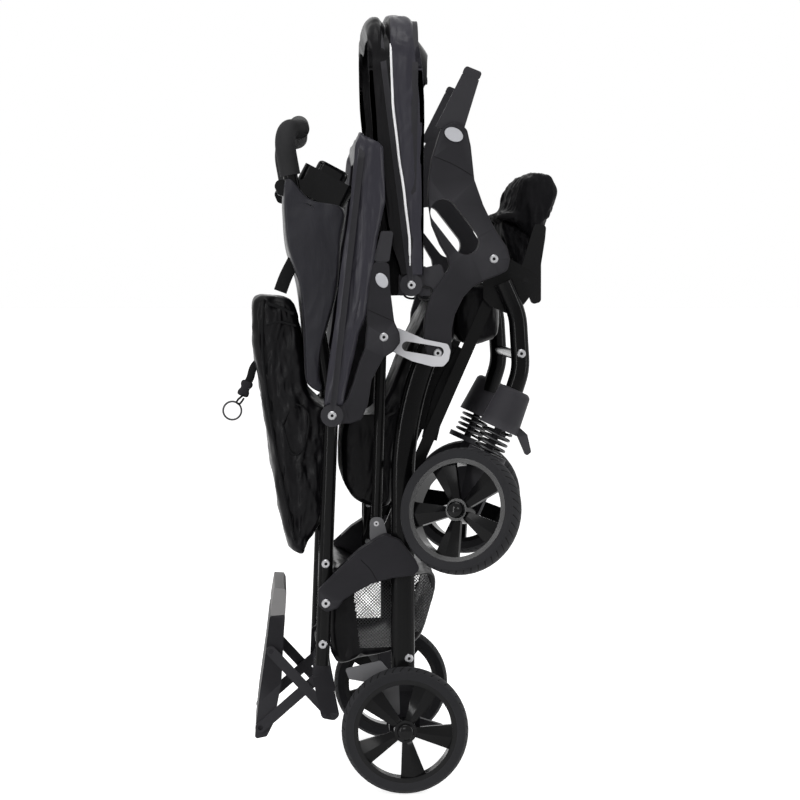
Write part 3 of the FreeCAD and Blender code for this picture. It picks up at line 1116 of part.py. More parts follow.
def canopies():
    """The two folded canopies."""
    canopy("front_canopy", (FRONT_CANOPY_SHARES, FRONT_BOWS_SHARES), (FRONT_CANOPY_LENGTH, FRONT_CANOPY_HEIGHT),
           FRONT_CANOPY_HALF_WIDTH, FRONT_CANOPY_CORNER, CANOPY_PLACE, ARM_Y + CLIP_DEPTH / 2 + CLEARANCE)
    canopy("rear_canopy", (REAR_CANOPY_SHARES, REAR_BOWS_SHARES), (REAR_CANOPY_LENGTH, REAR_CANOPY_HEIGHT),
           REAR_CANOPY_HALF_WIDTH, REAR_CANOPY_CORNER, REAR_PLACE, REAR_ARM_Y + REAR_ARM_DEPTH / 2 + CLEARANCE)
    inside = FRONT_CANOPY_HALF_WIDTH + REAR_ARM_DEPTH
    roof_edge = REAR_PIVOT_X + REAR_ROOF_SHARE * REAR_CANOPY_LENGTH
    room = Part.makeBox(2 * REAR_CANOPY_LENGTH, 2 * inside, 2 * REAR_CANOPY_HEIGHT,
                        at(roof_edge, REAR_PIVOT_Z, -inside))
    pieces["rear_canopy_cloth"] = pieces["rear_canopy_cloth"].cut(room)


def soft_parts():
    """The plain solids of the seats, the bag, the pouch and the basket."""
    def soft(shares, place, length, height, half_width):
        return slab(spread(shares, place, length, height), 0, 2 * half_width, SOFT_ROUND)

    pouch = soft(POUCH_SHARES, TRAY_PLACE, POUCH_LENGTH, POUCH_HEIGHT, POUCH_HALF_WIDTH)
    above_tray = rounded_box(Vector(TRAY_DEPTH + 2 * CLEARANCE, 3 * POUCH_HALF_WIDTH, 2 * TRAY_HEIGHT),
                             Vector(0, 0, TRAY_HEIGHT / 2 - CLEARANCE), TRAY_ROUND)
    pouch = pouch.cut(placed_tray(above_tray))
    for solid in pieces["handle_legs"].Solids + pieces["parent_tray"].Solids:
        pouch = pouch.cut(solid)
    pieces["handle_pouch"] = max(pouch.Solids, key=lambda solid: solid.Volume)
    bag_half_width = TUBE_Y - HANDLE_TUBE_RADIUS - CLEARANCE
    pieces["rear_seat_bag"] = soft(REAR_BAG_SHARES, KNEE_PLACE, BAG_LENGTH, BAG_HEIGHT, bag_half_width)
    basket_half_width = ELBOW_Y - ELBOW_DEPTH / 2 - CLEARANCE
    pieces["basket"] = soft(BASKET_SHARES, ELBOW_PLACE, BASKET_LENGTH, BASKET_HEIGHT, basket_half_width)
    pieces["front_seat"] = soft(FRONT_SEAT_SHARES, LEG_PLACE, SEAT_LENGTH, SEAT_HEIGHT, SEAT_HALF_WIDTH)
    back = soft(SEAT_BACK_SHARES, CANOPY_PLACE, SEAT_BACK_LENGTH, SEAT_BACK_HEIGHT, SEAT_HALF_WIDTH)
    wing_half_width = TUBE_Y - MAIN_TUBE_DEPTH / 2 - CLEARANCE
    wing = soft(SEAT_WING_SHARES, CANOPY_PLACE, SEAT_BACK_LENGTH, SEAT_BACK_HEIGHT, wing_half_width)
    pieces["front_seat_back"] = back.fuse(wing)


def tether():
    """The loose strap at the bag's edge with its buckle and ring."""
    strap_outline, buckle_outline = [spread(shares, RING_PLACE, TETHER_LENGTH, TETHER_HEIGHT)
                                     for shares in (TETHER_STRAP_SHARES, TETHER_BUCKLE_SHARES)]
    strap = slab(strap_outline, TETHER_Y, TETHER_WIDTH, CLEARANCE * 3)
    buckle = slab(buckle_outline, TETHER_Y, TETHER_WIDTH, PIN_RADIUS)
    pieces["tether"] = Part.makeCompound([strap, buckle.cut(strap)])
    ring = Part.makeTorus(RING_RADIUS, RING_WIRE, at(RING_X, RING_Z, TETHER_Y), Y_AXIS)
    hinge = at(*spread([RING_HINGE_SHARE], RING_PLACE, TETHER_LENGTH, TETHER_HEIGHT)[0])
    for angle in RING_SWING_ANGLES:
        seat = buckle.copy()
        seat.rotate(hinge, Y_AXIS, -angle)
        ring = ring.cut(seat)
    pieces["tether_ring"] = ring


def export(shapes):
    """Centre the object over the origin and write one file for each piece."""
    box = FreeCAD.BoundBox()
    for shape in shapes.values():
        box.add(shape.optimalBoundingBox(False))
    shift = Vector(-box.Center.x, -box.Center.y, -box.ZMin)
    os.makedirs("parts", exist_ok=True)
    for name, shape in shapes.items():
        shape.translate(shift)
        solids = [solid for solid in shape.Solids]
        whole = solids[0] if len(solids) == 1 else Part.makeCompound(solids)
        whole.exportStep("parts/" + name + ".step")
    print("shift", [round(value, 3) for value in shift], "size", box.XLength, box.YLength, box.ZLength)
    return shift


def build():
    """Make every piece of the stroller."""
    tube = main_tube()
    bar_z = MAIN_TUBE_BEND_Z + FRAME_BAR_LIFT
    bar = rod(at(0, bar_z, -TUBE_Y), at(0, bar_z, TUBE_Y), FRAME_BAR_RADIUS).cut(tube).cut(flipped(tube))
    pieces["main_tubes"] = Part.makeCompound([tube, flipped(tube), max(bar.Solids, key=lambda solid: solid.Volume)])
    add_pair("elbows", elbow().cut(tube))
    arm = front_arm(tube)
    add_pair("front_arms", arm)
    add_pair("seat_posts", *adapter(arm))
    add_each("arm_button", arm_button())
    add_pair("rear_arms", *rear_arm())
    clip = slab(spread(CANOPY_CLIP_SHARES, CANOPY_PLACE, CLIP_LENGTH, CLIP_HEIGHT), ARM_Y, CLIP_DEPTH, PIN_RADIUS)
    clip = clip.cut(arm).cut(pin(*CANOPY_PLACE, 0, 2 * ARM_Y, PIN_RADIUS))
    add_pair("canopy_clips", clip)
    handle()
    strut_set(tube)
    rear_axle(tube)
    rear_wheels()
    front_leg((("left", LEFT_SWIVEL_ANGLE), ("right", RIGHT_SWIVEL_ANGLE)))
    leg_rest()
    latch()
    platform()
    tray()
    canopies()
    soft_parts()
    tether()
    pins()


build()
SHIFT = export(pieces)
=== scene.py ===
"""Looks of the folded sit and stand stroller: its cloth, grips, finishes and studio."""
import json
import logging
import math
from dataclasses import dataclass, field
from enum import Enum
from typing import Optional, Sequence

import bmesh
import bpy
from mathutils import Euler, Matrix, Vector, noise
from mathutils.bvhtree import BVHTree


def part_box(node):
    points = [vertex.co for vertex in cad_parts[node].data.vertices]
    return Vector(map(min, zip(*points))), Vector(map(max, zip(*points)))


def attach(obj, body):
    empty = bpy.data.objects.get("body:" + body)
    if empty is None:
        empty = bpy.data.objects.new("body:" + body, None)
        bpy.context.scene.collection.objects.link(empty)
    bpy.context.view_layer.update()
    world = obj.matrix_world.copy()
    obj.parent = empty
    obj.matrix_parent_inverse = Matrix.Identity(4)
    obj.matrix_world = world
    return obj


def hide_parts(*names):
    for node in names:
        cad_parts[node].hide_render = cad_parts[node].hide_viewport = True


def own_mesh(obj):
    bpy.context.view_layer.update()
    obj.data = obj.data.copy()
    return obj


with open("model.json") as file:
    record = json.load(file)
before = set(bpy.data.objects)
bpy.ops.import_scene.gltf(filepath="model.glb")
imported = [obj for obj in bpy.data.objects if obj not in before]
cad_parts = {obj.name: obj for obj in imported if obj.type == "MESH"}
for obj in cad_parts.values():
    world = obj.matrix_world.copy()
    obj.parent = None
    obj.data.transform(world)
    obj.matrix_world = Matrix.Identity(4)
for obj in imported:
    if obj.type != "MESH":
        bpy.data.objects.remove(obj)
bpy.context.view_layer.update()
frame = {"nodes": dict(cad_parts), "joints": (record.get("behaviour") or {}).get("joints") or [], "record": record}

LOG = logging.getLogger("stroller")
MM = 0.001
AXLE_HEIGHT = 96.0
WELD_DISTANCE = 0.0002
PUFF_CELL = 0.005
SETTLE_FRAMES = 20
CLOTH_QUALITY = 6
NET_THREAD = 0.12
NET_UNEVEN = 0.15
STRAP_SIDES = 8
DRIVE_SIDES = 6
COAT_ROUGHNESS = 0.12
SHEEN_ROUGHNESS = 0.4
LEAST_ROUGHNESS = 0.05
GRAIN_STRENGTH = 0.6
WORN_GAIN = 2.2
WORN_LIFT = 0.02
SIDES = (("right", -1), ("left", 1))
WHEELS = tuple((kind, label) for kind in ("front", "rear") for label in ("right", "left"))
Point = tuple[float, float]
Place = tuple[float, float, float]


def model_offset() -> Vector:
    """Find where the rear axle's middle stands in the row frame.

    Returns:
        The offset of the package's own places, in metres.
    """
    low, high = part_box("rear_axle")
    middle = (low + high) / 2
    return Vector((middle.x, middle.y, middle.z - AXLE_HEIGHT * MM))


OFFSET = model_offset()


def spot(x: float, y: float, z: float) -> Vector:
    """Turn a place of the package, in millimetres, into the row frame.

    Args:
        x: Distance from the rear axle towards the front wheels.
        y: Distance from the middle plane, towards the stroller's left.
        z: Height above the floor.

    Returns:
        The place in metres.
    """
    return Vector((x, y, z)) * MM + OFFSET


# Shader effects shared by several finishes

def group_tree(name: str, inputs: dict[str, float], outputs: Sequence[str]) -> bpy.types.NodeTree:
    """Start a shader node group with value sockets.

    Args:
        name: The effect's name.
        inputs: Each input's name and usual value.
        outputs: The outputs' names.

    Returns:
        The node tree with its sockets.
    """
    tree = bpy.data.node_groups.new(name, "ShaderNodeTree")
    for label, value in inputs.items():
        socket = tree.interface.new_socket(label, in_out="INPUT", socket_type="NodeSocketFloat")
        socket.default_value = value
    for label in outputs:
        tree.interface.new_socket(label, in_out="OUTPUT", socket_type="NodeSocketFloat")
    return tree


def feed(node: bpy.types.Node, values: dict[str, object]) -> None:
    """Set inputs that nothing is joined to.

    Args:
        node: The node.
        values: Each input's name and value.
    """
    for label, value in values.items():
        node.inputs[label].default_value = value


class Wiring:
    """Short hand for placing and joining nodes in one tree."""

    def __init__(self, tree: bpy.types.NodeTree) -> None:
        """Keep the tree.

        Args:
            tree: The tree that the nodes go to.
        """
        self.tree = tree

    def node(self, kind: str, **settings: object) -> bpy.types.Node:
        """Add a node.

        Args:
            kind: The node's type.
            settings: Its properties.

        Returns:
            The new node.
        """
        made = self.tree.nodes.new(kind)
        for label, value in settings.items():
            setattr(made, label, value)
        return made

    def join(self, source: bpy.types.NodeSocket, target: bpy.types.NodeSocket) -> None:
        """Join two sockets.

        Args:
            source: The output.
            target: The input.
        """
        self.tree.links.new(source, target)

    def math(self, operation: str, first: object, second: object = 0.0) -> bpy.types.NodeSocket:
        """Add a math node.

        Args:
            operation: The operation's name.
            first: A socket or a number.
            second: A socket or a number.

        Returns:
            The result's socket.
        """
        made = self.node("ShaderNodeMath", operation=operation)
        for index, value in enumerate((first, second)):
            if isinstance(value, bpy.types.NodeSocket):
                self.join(value, made.inputs[index])
            else:
                made.inputs[index].default_value = value
        return made.outputs[0]

    def bump(self, height: bpy.types.NodeSocket, strength: float, distance: float) -> bpy.types.Node:
        """Add a bump node.

        Args:
            height: The socket with its height.
            strength: How strong it is.
            distance: Its depth in metres.

        Returns:
            The node.
        """
        made = self.node("ShaderNodeBump")
        feed(made, {"Strength": strength, "Distance": distance})
        self.join(height, made.inputs["Height"])
        return made


def weave_group() -> bpy.types.NodeTree:
    """Crossed threads of a plain weave.

    Returns:
        A group with the threads' height and tone.
    """
    tree = group_tree("cloth_weave", {"Threads": 900.0}, ("Height", "Tone"))
    wire = Wiring(tree)
    given = wire.node("NodeGroupInput")
    out = wire.node("NodeGroupOutput")
    place = wire.node("ShaderNodeTexCoord")
    split = wire.node("ShaderNodeSeparateXYZ")
    wire.join(place.outputs["Object"], split.inputs[0])
    across = wire.math("ADD", split.outputs["X"], split.outputs["Y"])
    warp = wire.math("SINE", wire.math("MULTIPLY", across, given.outputs["Threads"]))
    weft = wire.math("SINE", wire.math("MULTIPLY", split.outputs["Z"], given.outputs["Threads"]))
    crossed = wire.math("MULTIPLY", warp, weft)
    height = wire.math("MULTIPLY_ADD", crossed, 0.5)
    height.node.inputs[2].default_value = 0.5
    wire.join(height, out.inputs["Height"])
    wire.join(height, out.inputs["Tone"])
    return tree


def grain_group() -> bpy.types.NodeTree:
    """Fine mould grain with broad uneven tone.

    Returns:
        A group with the grain's height and the tone of wear and dust.
    """
    tree = group_tree("mould_grain", {"Scale": 700.0, "Patches": 18.0}, ("Height", "Tone"))
    wire = Wiring(tree)
    given = wire.node("NodeGroupInput")
    out = wire.node("NodeGroupOutput")
    place = wire.node("ShaderNodeTexCoord")
    fine = wire.node("ShaderNodeTexNoise")
    fine.inputs["Detail"].default_value = 3.0
    broad = wire.node("ShaderNodeTexNoise")
    broad.inputs["Detail"].default_value = 4.0
    for texture, label in ((fine, "Scale"), (broad, "Patches")):
        wire.join(place.outputs["Object"], texture.inputs["Vector"])
        wire.join(given.outputs[label], texture.inputs["Scale"])
    wire.join(fine.outputs["Fac"], out.inputs["Height"])
    wire.join(broad.outputs["Fac"], out.inputs["Tone"])
    return tree


def crease_group() -> bpy.types.NodeTree:
    """Long soft creases that run down a hanging cloth.

    Returns:
        A group with the creases' height.
    """
    tree = group_tree("cloth_creases", {"Scale": 14.0, "Length": 0.35, "Twist": 1.2}, ("Height",))
    wire = Wiring(tree)
    given = wire.node("NodeGroupInput")
    out = wire.node("NodeGroupOutput")
    place = wire.node("ShaderNodeTexCoord")
    split = wire.node("ShaderNodeSeparateXYZ")
    join = wire.node("ShaderNodeCombineXYZ")
    wire.join(place.outputs["Object"], split.inputs[0])
    wire.join(split.outputs["X"], join.inputs["X"])
    wire.join(split.outputs["Y"], join.inputs["Y"])
    wire.join(wire.math("MULTIPLY", split.outputs["Z"], given.outputs["Length"]), join.inputs["Z"])
    crease = wire.node("ShaderNodeTexNoise")
    crease.inputs["Detail"].default_value = 5.0
    crease.inputs["Roughness"].default_value = 0.45
    wire.join(join.outputs[0], crease.inputs["Vector"])
    wire.join(given.outputs["Scale"], crease.inputs["Scale"])
    wire.join(given.outputs["Twist"], crease.inputs["Distortion"])
    wire.join(crease.outputs["Fac"], out.inputs["Height"])
    return tree


def worn_edge_group() -> bpy.types.NodeTree:
    """A mask of the outward edges, where a coat is rubbed.

    Returns:
        A group with the mask.
    """
    tree = group_tree("rubbed_edges", {"Start": 0.53, "Spread": 14.0}, ("Mask",))
    wire = Wiring(tree)
    given = wire.node("NodeGroupInput")
    out = wire.node("NodeGroupOutput")
    form = wire.node("ShaderNodeNewGeometry")
    above = wire.math("SUBTRACT", form.outputs["Pointiness"], given.outputs["Start"])
    strong = wire.math("MULTIPLY", above, given.outputs["Spread"])
    strong.node.use_clamp = True
    wire.join(strong, out.inputs["Mask"])
    return tree


@dataclass
class Effects:
    """The shared shader groups."""

    weave: bpy.types.NodeTree = field(default_factory=weave_group)
    grain: bpy.types.NodeTree = field(default_factory=grain_group)
    creases: bpy.types.NodeTree = field(default_factory=crease_group)
    edges: bpy.types.NodeTree = field(default_factory=worn_edge_group)


class Surface(Enum):
    """How a finish is built."""

    MOULDED = "moulded"
    COATED = "coated"
    METAL = "metal"
    CLOTH = "cloth"
    NET = "net"


@dataclass(frozen=True)
class Finish:
    """One finish of the stroller, with the values that its nodes take."""

    name: str
    surface: Surface
    colour: tuple[float, float, float]
    roughness: float
    tone_spread: float = 0.25
    rough_spread: float = 0.12
    grain: float = 700.0
    grain_depth: float = 0.00003
    creases: float = 0.0
    crease_scale: float = 14.0
    specular: float = 0.4
    coat: float = 0.0
    sheen: float = 0.0
    wear: float = 0.0
    hole_pitch: float = 0.0022

    def build(self, effects: Effects) -> bpy.types.Material:
        """Make the material.

        Args:
            effects: The shared groups.

        Returns:
            The finished material.
        """
        made = bpy.data.materials.new(self.name)
        made.use_nodes = True
        tree = made.node_tree
        wire = Wiring(tree)
        shader = tree.nodes["Principled BSDF"]
        feed(shader, {"Specular IOR Level": self.specular, "Coat Weight": self.coat, "Coat Roughness": COAT_ROUGHNESS,
                      "Metallic": 1.0 if self.surface is Surface.METAL else 0.0})
        if self.sheen:
            feed(shader, {"Sheen Weight": self.sheen, "Sheen Roughness": SHEEN_ROUGHNESS})
        grain = wire.node("ShaderNodeGroup", node_tree=effects.grain)
        grain.inputs["Scale"].default_value = self.grain
        tone, height = grain.outputs["Tone"], grain.outputs["Height"]
        if self.surface in (Surface.CLOTH, Surface.NET):
            weave = wire.node("ShaderNodeGroup", node_tree=effects.weave)
            weave.inputs["Threads"].default_value = self.grain * 4
            height = weave.outputs["Height"]
        self.paint(wire, shader, tone, effects)
        rough = wire.node("ShaderNodeMapRange")
        feed(rough, {"To Min": max(self.roughness - self.rough_spread, LEAST_ROUGHNESS),
                     "To Max": min(self.roughness + self.rough_spread, 1.0)})
        wire.join(tone, rough.inputs["Value"])
        wire.join(rough.outputs["Result"], shader.inputs["Roughness"])
        fine = wire.bump(height, GRAIN_STRENGTH, self.grain_depth)
        if self.creases:
            crease = wire.node("ShaderNodeGroup", node_tree=effects.creases)
            crease.inputs["Scale"].default_value = self.crease_scale
            broad = wire.bump(crease.outputs["Height"], 1.0, self.creases)
            wire.join(broad.outputs["Normal"], fine.inputs["Normal"])
        wire.join(fine.outputs["Normal"], shader.inputs["Normal"])
        if self.surface is Surface.NET:
            self.pierce(wire, shader)
        return made

    def paint(self, wire: Wiring, shader: bpy.types.Node, tone: bpy.types.NodeSocket, effects: Effects) -> None:
        """Colour the surface, uneven in tone and rubbed at its edges.

        Args:
            wire: The material's wiring.
            shader: The shader that takes the colour.
            tone: The socket with the tone's pattern.
            effects: The shared groups.
        """
        ramp = wire.node("ShaderNodeMix", data_type="RGBA")
        low = [channel * (1 - self.tone_spread) for channel in self.colour]
        high = [channel * (1 + self.tone_spread) for channel in self.colour]
        ramp.inputs["A"].default_value = (*low, 1.0)
        ramp.inputs["B"].default_value = (*high, 1.0)
        wire.join(tone, ramp.inputs["Factor"])
        painted = ramp.outputs["Result"]
        if self.wear:
            edges = wire.node("ShaderNodeGroup", node_tree=effects.edges)
            worn = wire.node("ShaderNodeMix", data_type="RGBA")
            light = [min(channel * WORN_GAIN + WORN_LIFT, 1.0) for channel in self.colour]
            worn.inputs["B"].default_value = (*light, 1.0)
            wire.join(painted, worn.inputs["A"])
            wire.join(wire.math("MULTIPLY", edges.outputs["Mask"], self.wear), worn.inputs["Factor"])
            painted = worn.outputs["Result"]
        wire.join(painted, shader.inputs["Base Color"])

    def pierce(self, wire: Wiring, shader: bpy.types.Node) -> None:
        """Open the net's holes.

        Args:
            wire: The material's wiring.
            shader: The shader that takes the mask.
        """
        place = wire.node("ShaderNodeTexCoord")
        cells = wire.node("ShaderNodeTexVoronoi", feature="DISTANCE_TO_EDGE")
        feed(cells, {"Scale": 1 / self.hole_pitch, "Randomness": NET_UNEVEN})
        turned = wire.node("ShaderNodeMapping")
        feed(turned, {"Rotation": (0.0, math.radians(45), 0.0), "Scale": (1.0, 0.0, 1.0)})
        wire.join(place.outputs["Object"], turned.inputs["Vector"])
        wire.join(turned.outputs["Vector"], cells.inputs["Vector"])
        solid = wire.math("LESS_THAN", cells.outputs["Distance"], NET_THREAD)
        wire.join(solid, shader.inputs["Alpha"])


FRAME_PAINT = Finish("satin_black_tube", Surface.COATED, (0.0018, 0.0018, 0.002), 0.15, rough_spread=0.05,
                     grain_depth=0.00001, specular=0.07, wear=0.25)
DARK_MOULDING = Finish("satin_dark_moulding", Surface.MOULDED, (0.019, 0.0185, 0.021), 0.5, wear=0.3,
                       grain_depth=0.00006, specular=0.07)
RIM_MOULDING = Finish("satin_rim_moulding", Surface.MOULDED, (0.004, 0.004, 0.0043), 0.18, wear=0.25, specular=0.1)
GLOSS_MOULDING = Finish("gloss_dark_moulding", Surface.MOULDED, (0.003, 0.003, 0.0034), 0.12, specular=0.14)
GREY_MOULDING = Finish("light_grey_moulding", Surface.MOULDED, (0.50, 0.50, 0.52), 0.42, tone_spread=0.1, specular=0.3)
BOOT_MOULDING = Finish("mid_grey_moulding", Surface.MOULDED, (0.031, 0.030, 0.034), 0.5, specular=0.08, wear=0.3)
GREY_PLATE = Finish("grey_plate", Surface.COATED, (0.10, 0.10, 0.105), 0.45)
GREY_TREAD = Finish("grey_tread_rubber", Surface.MOULDED, (0.25, 0.245, 0.245), 0.7, tone_spread=0.12, grain=260,
                    grain_depth=0.0006, specular=0.15)
BUTTON_SILVER = Finish("button_silver", Surface.MOULDED, (0.44, 0.445, 0.47), 0.3, tone_spread=0.08, coat=0.3,
                       specular=0.25)
BRIGHT_STEEL = Finish("bright_steel", Surface.METAL, (0.34, 0.34, 0.35), 0.32, tone_spread=0.1)
SPRING_STEEL = Finish("dark_spring_steel", Surface.METAL, (0.05, 0.05, 0.052), 0.35)
BAR_STEEL = Finish("bar_steel", Surface.METAL, (0.40, 0.40, 0.41), 0.34)
TYRE_RUBBER = Finish("tyre_rubber", Surface.MOULDED, (0.024, 0.024, 0.026), 0.6, grain=500, grain_depth=0.0001,
                     specular=0.06)
GRIP_FOAM = Finish("grip_foam", Surface.MOULDED, (0.024, 0.024, 0.025), 0.65, grain=1400, grain_depth=0.0001,
                   specular=0.06)
PANEL_CLOTH = Finish("panel_cloth", Surface.CLOTH, (0.022, 0.021, 0.028), 0.36, tone_spread=0.2, grain=800,
                     grain_depth=0.00006, creases=0.003, crease_scale=18.0, sheen=0.03, specular=0.16)
DARK_CLOTH = Finish("dark_cloth", Surface.CLOTH, (0.0045, 0.0043, 0.005), 0.34, tone_spread=0.35, grain=800,
                    grain_depth=0.00006, creases=0.0022, crease_scale=16.0, specular=0.08)
POUCH_CLOTH = Finish("pouch_cloth", Surface.CLOTH, (0.016, 0.0157, 0.020), 0.36, tone_spread=0.15, grain=900,
                     grain_depth=0.00005, creases=0.0025, crease_scale=14.0, sheen=0.03, specular=0.14)
PIPING_WHITE = Finish("piping_white", Surface.CLOTH, (0.78, 0.78, 0.79), 0.6, tone_spread=0.08, grain=1500)
SEAM_TAPE = Finish("seam_tape", Surface.CLOTH, (0.005, 0.005, 0.0055), 0.5, grain=1500, specular=0.06)
# Near-black for the mouldings' parting lines, which are dark joints, and painted shade for the tread grooves and the
# screw drive recesses.
SEAM_AND_RECESS_SHADE = Finish("parting_line", Surface.MOULDED, (0.002, 0.002, 0.002), 0.7, specular=0.1)
WEBBING = Finish("black_webbing", Surface.CLOTH, (0.006, 0.006, 0.0064), 0.5, grain=1200, grain_depth=0.0001,
                 specular=0.06)
PAD_VINYL = Finish("pad_vinyl", Surface.MOULDED, (0.007, 0.0068, 0.0076), 0.5, grain=420, grain_depth=0.0002,
                   creases=0.0015, crease_scale=30.0, specular=0.03)
BASKET_NET = Finish("basket_net", Surface.NET, (0.05, 0.05, 0.052), 0.6, specular=0.06, hole_pitch=0.0036)

SLOT_FINISH = {
    "frame_paint": FRAME_PAINT, "bar_steel": BAR_STEEL, "dark_plastic": DARK_MOULDING, "rim_plastic": RIM_MOULDING,
    "gloss_dark": GLOSS_MOULDING, "grey_plastic": GREY_MOULDING, "boot_grey": BOOT_MOULDING,
    "grey_tread": GREY_TREAD, "grey_metal": GREY_PLATE, "spring_steel": SPRING_STEEL, "screw_steel": BRIGHT_STEEL,
    "button_silver": BUTTON_SILVER, "tyre_rubber": TYRE_RUBBER, "grip_foam": GRIP_FOAM, "pad_vinyl": PAD_VINYL,
    "canopy_cloth": PANEL_CLOTH, "dark_cloth": DARK_CLOTH, "webbing": WEBBING}


class Paints:
    """The finishes that were built, each made once."""

    def __init__(self) -> None:
        """Build the shared groups."""
        self.effects = Effects()
        self.made: dict[str, bpy.types.Material] = {}

    def get(self, finish: Finish) -> bpy.types.Material:
        """Give the material of a finish.

        Args:
            finish: The finish.

        Returns:
            Its material.
        """
        if finish.name not in self.made:
            self.made[finish.name] = finish.build(self.effects)
        return self.made[finish.name]


# Mesh helpers

def curved(p0: Point, p1: Point, p2: Point, p3: Point, t: float) -> Point:
    """Find a place on the smooth curve between the middle two of four points.

    Args:
        p0: The point before.
        p1: The curve's start.
        p2: Its end.
        p3: The point after.
        t: From 0 at the start to 1 at the end.

    Returns:
        The place.
    """
    return tuple(0.5 * (2 * b + (c - a) * t + (2 * a - 5 * b + 4 * c - d) * t * t + (3 * b - a - 3 * c + d) * t ** 3)
                 for a, b, c, d in zip(p0, p1, p2, p3))


def bands(rows: int, count: int, start: int = 0) -> list[tuple[int, ...]]:
    """Join rings of places, each to the next one.

    Args:
        rows: How many rings there are.
        count: How many places each has.
        start: The number of the first place.

    Returns:
        The faces between the rings.
    """
    faces = []
    for row in range(rows - 1):
        a, b = start + row * count, start + (row + 1) * count
        for k in range(count):
            j = (k + 1) % count
            faces.append((a + k, a + j, b + j, b + k))
    return faces


def sheet_faces(stations: int, steps: int) -> list[tuple[int, ...]]:
    """Join an open grid of places.

    Args:
        stations: How many spans it has one way.
        steps: How many it has the other way.

    Returns:
        The grid's faces.
    """
    row = steps + 1
    corners = (station * row + step for station in range(stations) for step in range(steps))
    return [(a, a + 1, a + row + 1, a + row) for a in corners]


def smooth_outline(points: Sequence[Point], steps: int) -> list[Point]:
    """Round a closed outline through its points.

    Args:
        points: The outline's corners in order.
        steps: How many points each span gets.

    Returns:
        The rounded outline.
    """
    count = len(points)
    found = []
    for index in range(count):
        near = [points[(index + k - 1) % count] for k in range(4)]
        found.extend(curved(*near, step / steps) for step in range(steps))
    return found


def even_outline(points: Sequence[Point], count: int) -> list[Point]:
    """Space the points of a closed outline evenly.

    Args:
        points: The outline.
        count: How many points it gets.

    Returns:
        The outline with even steps.
    """
    closed = list(points) + [points[0]]
    lengths = [math.dist(a, b) for a, b in zip(closed, closed[1:])]
    total = sum(lengths)
    found, walked, index = [], 0.0, 0
    for step in range(count):
        goal = total * step / count
        while walked + lengths[index] < goal:
            walked += lengths[index]
            index += 1
        share = (goal - walked) / lengths[index]
        a, b = closed[index], closed[index + 1]
        found.append((a[0] + (b[0] - a[0]) * share, a[1] + (b[1] - a[1]) * share))
    return found


def inside(x: float, z: float, outline: Sequence[Point]) -> bool:
    """Tell whether a place lies inside an outline.

    Args:
        x: The place along X.
        z: Its height.
        outline: The closed outline.

    Returns:
        True inside it.
    """
    odd = False
    for (xa, za), (xb, zb) in zip(outline, list(outline[1:]) + [outline[0]]):
        if (za > z) != (zb > z) and x < xa + (xb - xa) * (z - za) / (zb - za):
            odd = not odd
    return odd


def placed(name: str, data: bpy.types.ID) -> bpy.types.Object:
    """Put an object in the scene.

    Args:
        name: Its name.
        data: Its mesh, lamp or camera.

    Returns:
        The object.
    """
    made = bpy.data.objects.new(name, data)
    bpy.context.scene.collection.objects.link(made)
    return made


def new_mesh(name: str, verts: Sequence[Vector], faces: Sequence[Sequence[int]]) -> bpy.types.Object:
    """Make a smooth shaded mesh object.

    Args:
        name: The piece's name.
        verts: Places in the row frame.
        faces: Each face's places.

    Returns:
        The object.
    """
    mesh = bpy.data.meshes.new(name)
    mesh.from_pydata([tuple(v) for v in verts], [], [tuple(f) for f in faces])
    mesh.validate()
    work = bmesh.new()
    work.from_mesh(mesh)
    bmesh.ops.remove_doubles(work, verts=work.verts, dist=WELD_DISTANCE)
    bmesh.ops.recalc_face_normals(work, faces=work.faces)
    work.to_mesh(mesh)
    work.free()
    for polygon in mesh.polygons:
        polygon.use_smooth = True
    return placed(name, mesh)


def rounded(piece: bpy.types.Object, levels: int = 1) -> bpy.types.Object:
    """Subdivide a piece for good.

    Args:
        piece: The piece.
        levels: How often.

    Returns:
        The same piece.
    """
    change = piece.modifiers.new("round", "SUBSURF")
    change.levels = change.render_levels = levels
    return settled(piece)


def settled(piece: bpy.types.Object) -> bpy.types.Object:
    """Apply a piece's modifiers.

    Args:
        piece: The piece.

    Returns:
        The same piece, with its final mesh.
    """
    graph = bpy.context.evaluated_depsgraph_get()
    final = bpy.data.meshes.new_from_object(piece.evaluated_get(graph))
    piece.modifiers.clear()
    piece.data = final
    for polygon in final.polygons:
        polygon.use_smooth = True
    return piece


def puffed(piece: bpy.types.Object, cell: float, reach: float, pressure: float = 4.0) -> bpy.types.Object:
    """Fill a padded form by cloth simulation and keep what it settles to.

    Args:
        piece: The padded form.
        cell: The size of its cloth cells in metres.
        reach: How far a point may move, in metres.
        pressure: The filling's pressure.

    Returns:
        The same piece, filled.
    """
    cells = piece.modifiers.new("cells", "REMESH")
    cells.mode = "VOXEL"
    cells.voxel_size = cell
    settled(piece)
    rest = [vertex.co.copy() for vertex in piece.data.vertices]
    cloth = piece.modifiers.new("cloth", "CLOTH")
    cloth.settings.quality = CLOTH_QUALITY
    cloth.settings.use_pressure = True
    cloth.settings.uniform_pressure_force = pressure
    cloth.settings.effector_weights.gravity = 0.0
    scene = bpy.context.scene
    for step in range(1, SETTLE_FRAMES + 1):
        scene.frame_set(step)
    graph = bpy.context.evaluated_depsgraph_get()
    moved = [vertex.co.copy() for vertex in piece.evaluated_get(graph).data.vertices]
    piece.modifiers.clear()
    for vertex, before, after in zip(piece.data.vertices, rest, moved):
        change = after - before
        if change.length > reach:
            change = change.normalized() * reach
        vertex.co = before + change
    scene.frame_set(1)
    return rounded(piece)


